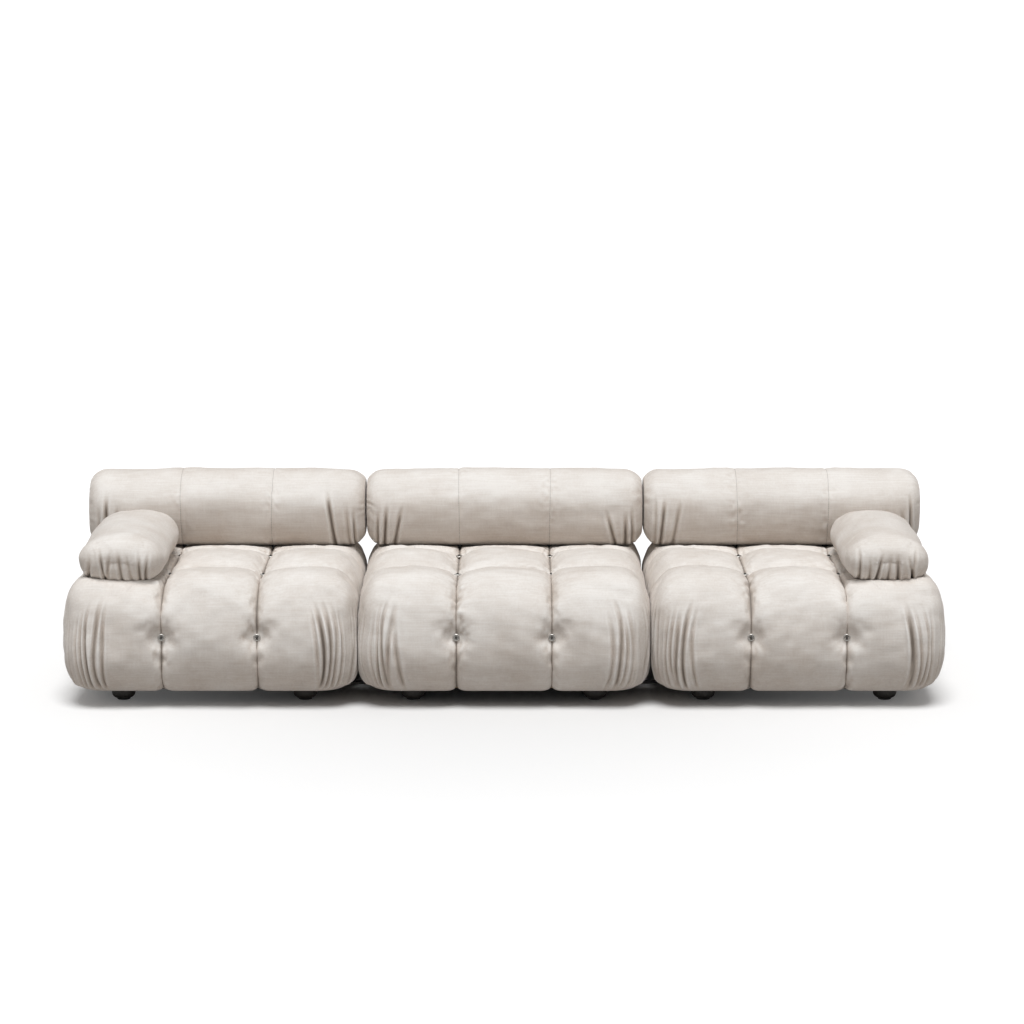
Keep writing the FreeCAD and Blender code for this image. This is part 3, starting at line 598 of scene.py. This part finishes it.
# %% Seat channels
RING_HEIGHT = 0.232
RING_FLOOR, RING_SEAT = 0.3715, 0.003
TOP_FROM, TOP_FULL = 0.30, 0.41
TOP_CHANNEL = (CROWN - RING_FLOOR - RING_SEAT, 0.150)
SIDE_CHANNEL = (0.0165, 0.034)
SIDE_RING_DEPTH = 0.0215
SIDE_RING_WIDENS, SIDE_RING_REACH = 0.040, 0.055
RING_FLAT, SIDE_RING_EDGE, TOP_RING_EDGE = 0.013, 0.050, 0.034
BACK_SINK, ARM_SINK = 0.022, 0.012
BACK_SPREAD = 0.035
STAYS_FORWARD = 0.020
back_low, back_high = box_of("centre_back_cover")
arm_low, arm_high = box_of("left_arm_cover")
COLLAR_Y = (back_low[1] + back_high[1]) / 2 - STAYS_FORWARD
ARM_AT = (arm_low[0] + arm_high[0]) / 2 - MODULE_AT["left"]
BACK_SHAPE = {
    "size": (0.923, back_high[1] - back_low[1] - 0.006, 0.248),
    "end_round": 0.056,
    "squareness": (3.0, 2.3),
}
ARM_SHAPE = {
    "size": (0.568, arm_high[0] - arm_low[0] - 0.004, 0.152),
    "end_round": 0.068,
    "squareness": (2.7, 2.3),
}
print("back", np.round(BACK_SHAPE["size"], 3), "arm", np.round(ARM_SHAPE["size"], 3), "at", round(ARM_AT, 3))


def shoulder(distance, width):
    """Rise of a pillow from a channel: a quarter ellipse, upright at the seam and level at the width."""
    return np.sqrt(np.clip(1 - (1 - np.minimum(distance, width) / width) ** 2, 0, 1))


def ring_places():
    """Middle of each ring on a seat: two on every side, and four where channels cross."""
    sides = [(s * CHANNEL, t * HALF_Y, RING_HEIGHT) for s in (-1, 1) for t in (-1, 1)]
    sides += [(t * HALF_X, s * CHANNEL, RING_HEIGHT) for s in (-1, 1) for t in (-1, 1)]
    return np.array(sides), np.array([(s * CHANNEL, t * CHANNEL, CROWN) for s in (-1, 1) for t in (-1, 1)])


def collar_places(arm_side):
    """Middle of each socket collar on top of a seat: two for the back, two for an arm."""
    places = [(s * CHANNEL, COLLAR_Y, CROWN) for s in (-1, 1)]
    if arm_side:
        places += [(arm_side * abs(ARM_AT), s * CHANNEL, CROWN) for s in (-1, 1)]
    return np.array(places)


def distance_to(points, places):
    """Distance from each point to the nearest place."""
    return np.sqrt(((points[:, None, :] - places[None, :, :]) ** 2).sum(-1).min(1))


def quilt_depth(points, arm_side):
    """How far the cloth lies below the plain block: channels that widen on top and beside each ring."""
    x, y, z = points.T
    on_top = fade(z, TOP_FROM, TOP_FULL)
    side_rings, top_rings = ring_places()
    depth = SIDE_CHANNEL[0] + (TOP_CHANNEL[0] - SIDE_CHANNEL[0]) * on_top
    width = SIDE_CHANNEL[1] + (TOP_CHANNEL[1] - SIDE_CHANNEL[1]) * on_top
    near_ring = np.exp(-(distance_to(points, side_rings) / SIDE_RING_REACH) ** 2)
    width = width + SIDE_RING_WIDENS * (1 - on_top) * near_ring
    rise = shoulder(np.abs(np.abs(x) - CHANNEL), width) * shoulder(np.abs(np.abs(y) - CHANNEL), width)
    depth = depth * (1 - rise)
    on_side = 1 - fade(distance_to(points, side_rings), RING_FLAT, SIDE_RING_EDGE)
    flat_places = np.concatenate([top_rings, collar_places(arm_side)])
    on_flat = 1 - fade(distance_to(points, flat_places), RING_FLAT, TOP_RING_EDGE)
    depth = depth + (SIDE_RING_DEPTH - depth) * on_side
    return depth + (CROWN - RING_FLOOR - depth) * on_flat


def underside(along, across, size, end_round, squareness, spread=0.0):
    """Height of a roll's underside over its lowest line: a squarish curve across, rising at the ends.
    With a spread, the lowest part is that much wider on both sides."""
    half = np.array(size) / 2
    past = np.clip((np.abs(along) - half[0] + end_round) / end_round, 0, 1)
    draw = end_round * (1 - np.sqrt(1 - past ** 2))
    share = np.clip((np.abs(across) - spread) / (half[1] - draw), 0, 1)
    return half[2] - (half[2] - draw) * (1 - share ** squareness[0]) ** (1 / squareness[0])


def pressed_level(points, arm_side):
    """Height that each point may reach: the underside of the back, and that of an arm."""
    x, y, _ = points.T
    back_y, arm_y = (back_low + back_high)[1] / 2, (arm_low + arm_high)[1] / 2
    level = back_low[2] - BACK_SINK + underside(x, y - back_y, **BACK_SHAPE, spread=BACK_SPREAD)
    if arm_side:
        below_arm = underside(y - arm_y, x - arm_side * abs(ARM_AT), **ARM_SHAPE)
        level = np.minimum(level, arm_low[2] - ARM_SINK + below_arm)
    return level


def soft_excess(gap, soft):
    """The part of a gap above zero, with a soft bend: soft x log(1 + exp(gap / soft))."""
    return soft * np.log1p(np.exp(np.clip(gap / soft, -40, 40)))


def press(points, arm_side, soft):
    """Lower the points that stand above their level by the soft excess of their height over it."""
    result = points.copy()
    result[:, 2] -= soft_excess(points[:, 2] - pressed_level(points, arm_side), soft)
    return result


# %% Seat skin: quilted, filled and one step finer
CLOTH_GROWTH = 0.045
FILL_CAP, FILL_CAP_LESS_ON_TOP = 0.016, 0.010
FILL_LESS_FROM, FILL_LESS_FULL = 0.30, 0.37
SEWN_WITHIN, TACKED_BELOW, TIED_REACH = 0.001, 0.012, 0.020
FIRST_PRESS, LAST_PRESS = 0.004, 0.0008


def seat_skin(arm_side):
    """Plain block, quilted along its normals, pressed, blown out between its seams, and subdivided."""
    mesh = seat_block()
    plain = read_points(mesh)
    quilted = plain - read_normals(mesh) * quilt_depth(plain, arm_side)[:, None]
    points = press(quilted, arm_side, FIRST_PRESS)
    write_points(mesh, points)
    line_x, line_y = recall(mesh, "line_x"), recall(mesh, "line_y")
    seam = np.minimum(np.abs(np.abs(line_x) - CHANNEL), np.abs(np.abs(line_y) - CHANNEL))
    side_rings, top_rings = ring_places()
    tied = np.concatenate([side_rings, top_rings, collar_places(arm_side)])
    held = (seam < SEWN_WITHIN) | (points[:, 2] < SEAT_BOTTOM + TACKED_BELOW)
    held |= distance_to(plain, tied) < TIED_REACH
    held |= quilted[:, 2] > pressed_level(quilted, arm_side)
    cap = FILL_CAP - FILL_CAP_LESS_ON_TOP * fade(points[:, 2], FILL_LESS_FROM, FILL_LESS_FULL)
    puffed = inflate(mesh, held, CLOTH_GROWTH, cap[:, None])
    write_points(mesh, press(puffed, arm_side, LAST_PRESS))
    store(mesh, "seam", seam)
    return subdivided(mesh)


seat_skins = {side: seat_skin(side) for side in (-1, 0)}
print("seat skins:", [len(m.vertices) for m in seat_skins.values()], "points")

# %% [markdown]
# ## Seat block: gathers and puckers
# At the upright corners the cover is gathered into long narrow folds that draw together towards the
# underside. Short puckers stand across every channel, small creases run out from the rings, and each
# pillow is a little uneven. A bump in the material could show them, but only real relief casts shadows. So
# all of it is moved along the normals, with another seed for each seat.

# %% Seat folds
GATHERS = ((0.028, 0.45), (0.050, 0.6), (0.074, 0.75), (0.096, 1.0), (0.120, 0.6))
GATHER_DEPTH, PUCKER_DEPTH, CREASE_DEPTH = 0.0135, 0.0007, 0.0009
GATHER_FOOT, GATHER_TOP, GATHER_RISE, GATHER_SWAY = 0.06, 0.30, 0.09, 0.004
GATHER_FROM, GATHER_FULL, GATHER_FADE = 0.045, 0.085, 0.12
PUCKER_AT, PUCKER_END, PUCKER_PITCH, PUCKER_PATCH = 0.012, 0.09, 0.024, 0.16
CREASE_AT, CREASE_SPREAD = 0.042, 0.022
SEAT_UNEVEN = ((0.0022, 0.22), (0.0006, 0.05))
HEM, PRESSED_EDGE, MEETING_SOFT = 0.03, 0.010, 0.0015
# Width and strength of a painted shade line along each sewn channel.
CHANNEL_STROKE, CHANNEL_SHADE = 0.0042, 0.75


def corner_gathers(points, line_x, line_y, seed):
    """Upright folds on both sides of each corner, closer together lower down: a profile across a line
    that is drawn between a foot and a head, each a distance from the corner."""
    chance = np.random.default_rng(seed)
    z = points[:, 2]
    from_corner = (HALF_X - np.abs(line_x)) - (HALF_Y - np.abs(line_y))
    total = np.zeros(len(z))
    for corner in ((sx, sy) for sx in (-1, 1) for sy in (-1, 1)):
        here = (np.sign(line_x) == corner[0]) & (np.sign(line_y) == corner[1])
        for side in (-1, 1):
            for at, strength in GATHERS:
                foot = at * chance.uniform(0.85, 1.05)
                head = at * chance.uniform(0.92, 1.12)
                top = GATHER_TOP + GATHER_RISE * strength * chance.uniform(0.6, 1.1)
                share = np.clip((z - GATHER_FOOT) / (top - GATHER_FOOT), 0, 1)
                bend = GATHER_SWAY * np.sin(share * chance.uniform(3, 7) + chance.uniform(0, 6))
                off = from_corner * side - (foot + (head - foot) * share + bend)
                along = fade(z, GATHER_FROM, GATHER_FULL) * fade(z, top, top - GATHER_FADE)
                width = chance.uniform(0.0045, 0.0065)
                total += here * strength * chance.uniform(0.6, 1.1) * along * fold_profile(off, width)
    return total


def channel_puckers(points, seam, seed):
    """Short creases across the channels: waves along the seam that fade a few centimetres away from it."""
    near = (seam / PUCKER_AT) * np.exp(1 - seam / PUCKER_AT) * (seam < PUCKER_END)
    strength = 0.5 + 0.5 * waves(points, PUCKER_PATCH, seed + 3)
    return near * np.clip(strength, 0, 1.5) * waves(points, PUCKER_PITCH, seed + 1, 24)


def ring_creases(points, seed):
    """Creases that run out from each ring: waves round it, strongest a few centimetres away."""
    side_rings, top_rings = ring_places()
    total = np.zeros(len(points))
    chance = np.random.default_rng(seed)
    for place in np.concatenate([side_rings, top_rings]):
        off = points - place
        far = np.linalg.norm(off, axis=1)
        if place[2] > RING_HEIGHT:
            turn = np.arctan2(off[:, 1], off[:, 0])
        elif abs(place[1]) > abs(place[0]):
            turn = np.arctan2(off[:, 2], off[:, 0])
        else:
            turn = np.arctan2(off[:, 2], off[:, 1])
        count, phase = chance.integers(7, 12), chance.uniform(0, 6)
        ripple = np.cos(count * turn + phase + 1.8 * np.sin(2 * turn + phase))
        ripple *= np.clip(0.35 + np.cos(turn - chance.uniform(0, 6)), 0, 1)
        total += np.exp(-((far - CREASE_AT) / CREASE_SPREAD) ** 2) * ripple
    return total


def meet(x, low, high, soft):
    """Keep a coordinate between two limits with a soft bend: the flat where a piece meets another."""
    x = x - soft_excess(x - high, soft)
    return x + soft_excess(low - x, soft)


def dress_seat(mesh, arm_side, limits, seed):
    """Add the folds to a seat skin, store how deep each point lies in them, and flatten its inner sides."""
    points, normals = read_points(mesh), read_normals(mesh)
    line_x, line_y, seam = (recall(mesh, n) for n in ("line_x", "line_y", "seam"))
    gathers = corner_gathers(points, line_x, line_y, seed)
    puckers = channel_puckers(points, seam, seed)
    creases = ring_creases(points, seed)
    sunk = GATHER_DEPTH * gathers + PUCKER_DEPTH * puckers + CREASE_DEPTH * creases
    free = fade(points[:, 2], SEAT_BOTTOM, SEAT_BOTTOM + HEM)
    free = free * fade(pressed_level(points, arm_side) - points[:, 2], 0.0, PRESSED_EDGE)
    uneven = unevenness(points, *SEAT_UNEVEN, seed)
    points = points - normals * (free * (sunk + uneven))[:, None]
    points[:, 0] = meet(points[:, 0], *limits, MEETING_SOFT)
    write_points(mesh, points)
    # How far each point lies in a fold or channel, kept for the cloth, which paints shade there.
    in_channel = CHANNEL_SHADE * np.exp(-(seam / CHANNEL_STROKE) ** 2)
    store(mesh, "fold", np.clip(0.9 * gathers + 0.12 * puckers + 0.15 * creases + in_channel, -0.4, 1.0))
    return mesh


# %% Seat pieces
def finish_piece(name, mesh, body, node, material):
    """Put a soft piece in the scene: smooth, riding on its body, in place of its plain solid."""
    mesh.materials.clear()
    mesh.materials.append(material)
    mesh.polygons.foreach_set("use_smooth", np.ones(len(mesh.polygons), dtype=bool))
    piece = bpy.data.objects.new(name, mesh)
    scene.collection.objects.link(piece)
    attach(piece, body)
    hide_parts(node)
    return piece


def mirrored(mesh):
    """A copy turned over across X, with its faces turned the right way again."""
    copy = mesh.copy()
    write_points(copy, read_points(copy) * np.array([-1.0, 1.0, 1.0]))
    copy.flip_normals()
    store(copy, "line_x", -recall(copy, "line_x"))
    return copy


MEETING = 0.4618
cloths = {name: cover_cloth(f"{name}_cloth", 1.7 * i) for i, name in enumerate(MODULE_AT)}
for seed, (name, at) in enumerate(MODULE_AT.items()):
    skin = mirrored(seat_skins[-1]) if name == "right" else seat_skins[-1 if name == "left" else 0].copy()
    arm_side = {"left": -1, "centre": 0, "right": 1}[name]
    limits = (-1.0 if name == "left" else -MEETING, 1.0 if name == "right" else MEETING)
    mesh = dress_seat(skin, arm_side, limits, 40 + seed)
    write_points(mesh, read_points(mesh) + np.array([at, 0.0, 0.0]))
    finish_piece(f"{name}_seat_pillows", mesh, f"{name}_module", f"{name}_seat_cover", cloths[name])
    print(name, "seat pillows:", len(mesh.polygons), "faces")

# %% [markdown]
# ## Bolsters: the form
# A bolster is a squarish roll: rings of one outline along its length, drawn in to a rounded end with a flat
# in its middle. A capsule would be too round and a box too hard, so the outline takes powers of cosine and
# sine. Backs lie along X and arms along Y. Each is filled like the seats, held along the line it rests on,
# and a seam is a shallow groove that is pressed in after the filling.

# %% Roll form
ROLL_STEP, SEAM_STEP, END_STEP = 0.011, 0.005, 0.0056
SEAM_MARGIN, END_MARGIN = 0.02, 0.09
BEND_RINGS, FLAT_RINGS = 15, 16
ROLL_GROWTH, RESTS_WITHIN = 0.02, 0.004


def squarish(turn, half_across, half_up, squareness):
    """Points of a squarish round outline: powers of cosine and sine, one below the middle and one above."""
    c, s = np.cos(turn), np.sin(turn)
    power = 2 / np.where(s < 0, *squareness)
    return half_across * np.sign(c) * np.abs(c) ** power, half_up * np.sign(s) * np.abs(s) ** power


def roll(name, half_length, half_across, half_up, end_round, squareness, seams, around=132):
    """Rings along a roll from end to end: straight, a quarter circle inwards, then a flat that shrinks to the
    middle. Its own axes: along, across, up."""
    straight = half_length - end_round
    stops = [0.0, ROLL_STEP]
    for seam in seams:
        stops += [seam - SEAM_MARGIN, SEAM_STEP, seam, SEAM_STEP, seam + SEAM_MARGIN, ROLL_STEP]
    line = both_sides(stretches(*stops, straight - END_MARGIN, END_STEP, straight))
    bend = np.linspace(0, np.pi / 2, BEND_RINGS)[1:]
    flat = np.linspace(0.95, 0.05, FLAT_RINGS)
    along = np.concatenate([line, straight + end_round * np.sin(bend), np.full(len(flat), half_length)])
    draw = np.concatenate([0 * line, end_round * (1 - np.cos(bend)), np.full(len(flat), end_round)])
    shrink = np.concatenate([np.ones(len(line) + len(bend)), flat])
    tail = len(bend) + len(flat)
    along = np.concatenate([-along[:-tail - 1:-1], along])
    draw = np.concatenate([draw[:-tail - 1:-1], draw])
    shrink = np.concatenate([shrink[:-tail - 1:-1], shrink])
    turn = np.linspace(0, 2 * np.pi, around, endpoint=False)[None, :]
    across, up = squarish(turn, (half_across - draw)[:, None], (half_up - draw)[:, None], squareness)
    across, up = across * shrink[:, None], up * shrink[:, None]
    rings = len(along)
    points = np.stack([np.broadcast_to(along[:, None], across.shape), across, up], -1).reshape(-1, 3)
    return build_mesh(name, points, ring_quads(rings, around))


def seam_distance(along, seams):
    """Distance of each point along a roll from the nearest seam."""
    if not seams:
        return np.full(len(along), 1.0)
    return np.abs(np.abs(along)[:, None] - np.array(seams)[None, :]).min(1)


def filled_roll(name, seams, cap, size, end_round, squareness):
    """A roll that is held along its lowest line and filled; lower down it swells less and less."""
    half = np.array(size) / 2
    mesh = roll(name, *half, end_round, squareness, seams)
    points = read_points(mesh)
    puffed = inflate(mesh, points[:, 2] < -half[2] + RESTS_WITHIN, ROLL_GROWTH, cap)
    share = fade(points[:, 2], -half[2], 0.5 * half[2])[:, None]
    write_points(mesh, points + (puffed - points) * share)
    store(mesh, "seam", seam_distance(points[:, 0], seams))
    return subdivided(mesh)


# %% [markdown]
# ## Back bolsters
# Each back has two upright seams in line with the seat's channels. Near its ends the cloth is caught in
# a few slanting pleats on the lower half of the face, and the flat end is gathered towards its middle. One
# filled roll serves all three backs, because only the folds differ, and another seed sets those.

# %% Back bolsters
BACK_PLEATS = ((0.116, 0.092, 0.0060), (0.064, 0.056, 0.0055), (0.040, 0.036, 0.0045))
PLEAT_TOPS, PLEAT_FOOT, PLEAT_FADE = (0.010, 0.085), 0.11, 0.085
FACE_FROM, FACE_FULL = 0.02, 0.06
END_FROM, END_FULL, END_MIDDLE, END_RIM = 0.05, 0.012, 0.15, 0.55
BOLSTER_FOLD_DEPTH, END_CREASE_DEPTH, SEAM_PUCKER_DEPTH = 0.010, 0.0022, 0.0005
BOLSTER_UNEVEN = ((0.0016, 0.20), (0.0004, 0.05))
SEAM_GROOVES = ((0.0018, 0.004), (0.0008, 0.02))
RESTING, FREE = 0.002, 0.025
STITCH_FAINTER = 0.0008
BACK_MEETING, BACK_MEETING_SOFT = 0.4600, 0.001
BACK_CAP = 0.009
back_skin = filled_roll("back_roll", (CHANNEL,), BACK_CAP, **BACK_SHAPE)


def end_pleats(points, half_length, seed):
    """Slanting folds near each end on the front and rear faces, from mid height down to the underside: a
    profile across a line between a head and a foot, each a distance from the end."""
    chance = np.random.default_rng(seed)
    along, across, up = points.T
    total = np.zeros(len(along))
    for end in (-1, 1):
        for face in (-1, 1):
            for head, foot, width in BACK_PLEATS:
                top = chance.uniform(*PLEAT_TOPS)
                head, foot = head * chance.uniform(0.9, 1.12), foot * chance.uniform(0.9, 1.1)
                share = np.clip((up + PLEAT_FOOT) / (top + PLEAT_FOOT), 0, 1)
                off = half_length - along * end - (foot + (head - foot) * share)
                window = fade(up, top, top - PLEAT_FADE) * fade(across * face, FACE_FROM, FACE_FULL)
                total += chance.uniform(0.45, 1.0) * window * fold_profile(off, width)
    return total


def end_gathers(points, half_length, half_across, half_up, seed, count=22):
    """Folds on the rounded end that run in towards its middle: a cosine of the turn round it."""
    along, across, up = points.T
    turn = np.arctan2(up / half_up, across / half_across)
    far = np.hypot(across / half_across, up / half_up)
    window = fade(np.abs(along), half_length - END_FROM, half_length - END_FULL)
    window = window * fade(far, END_MIDDLE, END_RIM)
    sway = waves(points, 0.09, seed + 5)
    strength = np.clip(0.6 + 0.5 * waves(points, 0.13, seed + 6), 0, 1.3)
    return window * np.cos(count * turn + 2.0 * sway) * strength


def dress_roll(mesh, folds, creases, seed):
    """Move a roll's points inwards along the normals by its folds, creases and unevenness."""
    points, normals = read_points(mesh), read_normals(mesh)
    seam = recall(mesh, "seam")
    puckers = channel_puckers(points, seam, seed)
    uneven = unevenness(points, *BOLSTER_UNEVEN, seed)
    groove = sum(depth * np.exp(-(seam / width) ** 2) for depth, width in SEAM_GROOVES)
    lowest = points[:, 2].min()
    free = fade(points[:, 2], lowest + RESTING, lowest + FREE)
    sunk = BOLSTER_FOLD_DEPTH * folds + END_CREASE_DEPTH * creases + SEAM_PUCKER_DEPTH * puckers
    write_points(mesh, points - normals * (free * (sunk + groove + uneven))[:, None])
    # Kept for the cloth, which paints shade in the pleats and creases.
    store(mesh, "fold", np.clip(0.9 * folds + 0.3 * creases + 0.1 * puckers, -0.4, 1.0))
    store(mesh, "seam", seam + STITCH_FAINTER)
    return mesh


for seed, name in enumerate(MODULE_AT):
    mesh = back_skin.copy()
    points = read_points(mesh)
    half = np.array(BACK_SHAPE["size"]) / 2
    folds = end_pleats(points, half[0], 60 + seed)
    creases = 0.3 * end_gathers(points, *half, 60 + seed)
    dress_roll(mesh, folds, creases, 60 + seed)
    points = read_points(mesh)
    points[:, 0] = meet(points[:, 0], -BACK_MEETING, BACK_MEETING, BACK_MEETING_SOFT)
    low, high = box_of(f"{name}_back_cover")
    middle = np.array([MODULE_AT[name], (low + high)[1] / 2, low[2] - BACK_SINK + half[2]])
    write_points(mesh, points + middle)
    finish_piece(f"{name}_back_bolster", mesh, f"{name}_back", f"{name}_back_cover", cloths[name])
    print(name, "back bolster:", len(mesh.polygons), "faces")

# %% [markdown]
# ## Arm bolsters
# An arm is a shorter, flatter roll that lies from front to rear on the outer pillows. Its cover is drawn
# together over the ends in a row of short upright pleats. It is made like a back and then turned, by a
# change of its axes, and its rear end is flattened where it meets the back.

# %% Arm bolsters
ARM_PLEATS = np.linspace(-0.088, 0.088, 7)
ARM_PLEAT_LEAN, ARM_PLEAT_STRAY = 0.012, 0.008
ARM_PLEAT_TOPS, ARM_PLEAT_FADE = (0.030, 0.062), 0.080
ARM_PLEAT_LOW, ARM_PLEAT_LOW_FULL = -0.076, -0.055
ARM_PLEAT_FROM, ARM_PLEAT_FULL = 0.100, 0.040
ARM_CAP = 0.010
BACK_CLEARANCE, BACK_CLEARANCE_SOFT = 0.004, 0.002
arm_skin = filled_roll("arm_roll", (), ARM_CAP, **ARM_SHAPE)


def front_pleats(points, half_length, seed):
    """Upright folds over each end, from the upper edge down to the underside."""
    chance = np.random.default_rng(seed)
    along, across, up = points.T
    total = np.zeros(len(along))
    for end in (-1, 1):
        for at in ARM_PLEATS:
            lean = chance.uniform(-ARM_PLEAT_LEAN, ARM_PLEAT_LEAN)
            middle = at + chance.uniform(-ARM_PLEAT_STRAY, ARM_PLEAT_STRAY)
            top = chance.uniform(*ARM_PLEAT_TOPS)
            off = across - middle - lean * up / 0.05
            window = fade(up, top, top - ARM_PLEAT_FADE) * fade(up, ARM_PLEAT_LOW, ARM_PLEAT_LOW_FULL)
            window *= fade(along * end, half_length - ARM_PLEAT_FROM, half_length - ARM_PLEAT_FULL)
            total += chance.uniform(0.4, 1.0) * window * fold_profile(off, chance.uniform(0.0042, 0.0055))
    return total


for seed, side in enumerate(("left", "right")):
    mesh = arm_skin.copy()
    points = read_points(mesh)
    folds = front_pleats(points, ARM_SHAPE["size"][0] / 2, 80 + seed)
    dress_roll(mesh, folds, 0.15 * waves(points, 0.10, 90 + seed), 80 + seed)
    points = read_points(mesh)
    low, high = box_of(f"{side}_arm_cover")
    middle = np.array([*(low + high)[:2] / 2, low[2] - ARM_SINK + ARM_SHAPE["size"][2] / 2])
    turned = np.stack([points[:, 1], points[:, 0], points[:, 2]], -1) + middle
    turned[:, 1] = meet(turned[:, 1], -1.0, back_low[1] - BACK_CLEARANCE, BACK_CLEARANCE_SOFT)
    write_points(mesh, turned)
    mesh.flip_normals()
    finish_piece(f"{side}_arm_bolster", mesh, f"{side}_arm", f"{side}_arm_cover", cloths[side])
    print(side, "arm bolster:", len(mesh.polygons), "faces")

# %% [markdown]
# ## Finishes of the fixed pieces
# The rings are brushed nickel, the stays bare steel, the links blackened steel, and the feet turned wood
# with a black stain. Inside are pale foam, plywood, softwood rails, black dust cloth and waxed cord. Each
# piece could have a material of its own, but three kinds of finish cover them all: metal, wood and soft
# matter. Most of it shows only when a bolster is lifted or a block is pulled away.

# %% Finishes of the fixed pieces
def brushed_metal(name, pale, deep, roughness, stretch):
    """Metal with fine lines along one direction and cloudy tarnish."""
    material, tree, shader = new_material(name)
    place = object_place(tree)
    lines = noise(tree, place, stretch, 3.0)
    tarnish = noise(tree, place, 60.0, 4.0, 0.6)
    tone = number(tree, "MULTIPLY_ADD", lines, 0.5, number(tree, "MULTIPLY", tarnish, 0.5))
    tree.links.new(blend_colours(tree, tone, deep, pale), shader.inputs["Base Color"])
    dull, bright = roughness + 0.1, roughness - 0.08
    gloss = add_node(tree, "ShaderNodeMapRange", {"Value": lines}, To_Min=bright, To_Max=dull)
    tree.links.new(gloss.outputs[0], shader.inputs["Roughness"])
    add_bump(tree, shader, lines, 0.15, 0.0004)
    shader.inputs["Metallic"].default_value = 1.0
    return material


def grained_wood(name, pale, deep, stretch, roughness):
    """Wood: noise stretched along the grain, with finer pores across it."""
    material, tree, shader = new_material(name)
    place = object_place(tree)
    grain = noise(tree, place, stretch, 5.0, 0.65)
    pores = noise(tree, place, tuple(8 * s for s in stretch), 2.0)
    tone = number(tree, "MULTIPLY_ADD", pores, 0.35, number(tree, "MULTIPLY", grain, 0.8))
    tree.links.new(blend_colours(tree, tone, deep, pale), shader.inputs["Base Color"])
    add_bump(tree, shader, tone, 0.25, 0.0006)
    shader.inputs["Roughness"].default_value = roughness
    return material


def soft_matter(name, pale, deep, cell, roughness, depth):
    """Foam, felt or cord: cells of one size, cloudy between two tones."""
    material, tree, shader = new_material(name)
    place = object_place(tree)
    cells = add_node(tree, "ShaderNodeTexVoronoi", {"Vector": place}, Scale=1 / cell).outputs["Distance"]
    cloud = noise(tree, place, 12.0, 4.0)
    tone = number(tree, "MULTIPLY_ADD", cells, 0.5, number(tree, "MULTIPLY", cloud, 0.7))
    tree.links.new(blend_colours(tree, tone, deep, pale), shader.inputs["Base Color"])
    add_bump(tree, shader, cells, 0.4, depth)
    shader.inputs["Roughness"].default_value = roughness
    return material


finishes = {
    "rings": brushed_metal("brushed_nickel", (0.62, 0.60, 0.57), (0.36, 0.35, 0.33), 0.36, (900, 900, 120)),
    "cord": soft_matter("waxed_cord", (0.06, 0.055, 0.05), (0.02, 0.018, 0.016), 0.0015, 0.7, 0.0004),
    "sockets": brushed_metal("socket_steel", (0.42, 0.41, 0.40), (0.22, 0.22, 0.22), 0.4, (700, 700, 60)),
    "stays": brushed_metal("stay_steel", (0.30, 0.30, 0.30), (0.13, 0.13, 0.13), 0.42, (700, 700, 40)),
    "steel": brushed_metal("zinc_steel", (0.45, 0.45, 0.45), (0.25, 0.25, 0.26), 0.42, (500, 60, 500)),
    "links": brushed_metal("black_steel", (0.06, 0.06, 0.06), (0.02, 0.02, 0.02), 0.5, (60, 500, 500)),
    "feet": grained_wood("black_wood", (0.055, 0.051, 0.047), (0.026, 0.024, 0.022), (40, 40, 6), 0.55),
    "glides": soft_matter("glide_pad", (0.05, 0.05, 0.05), (0.02, 0.02, 0.02), 0.0012, 0.95, 0.0003),
    "timber": grained_wood("softwood", (0.70, 0.53, 0.34), (0.48, 0.33, 0.18), (6, 40, 60), 0.7),
    "plywood": grained_wood("plywood", (0.66, 0.50, 0.33), (0.47, 0.33, 0.2), (8, 50, 260), 0.65),
    "foam": soft_matter("foam", (0.82, 0.78, 0.66), (0.68, 0.62, 0.48), 0.0022, 0.95, 0.0008),
    "dust": soft_matter("dust_cloth", (0.035, 0.035, 0.036), (0.012, 0.012, 0.013), 0.001, 0.9, 0.0003),
}
finish_of = {
    "tuft_rings": "rings", "tie_cords": "cord", "tie_anchors": "steel", "foot_bolts": "steel",
    "stay_sockets": "sockets", "back_stays": "stays", "arm_stays": "stays", "link_pins": "links",
    "link_forks": "links", "feet": "feet", "foot_glides": "glides", "base_frame": "timber",
    "deck_board": "plywood", "back_board": "plywood", "seat_foam": "foam", "back_foam": "foam",
    "arm_foam": "foam", "dust_cover": "dust",
}
for node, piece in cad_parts.items():
    kind = node.split("_", 1)[1]
    if kind in finish_of:
        piece.data.materials.clear()
        piece.data.materials.append(finishes[finish_of[kind]])
print("finished", len(finish_of), "kinds of fixed piece")
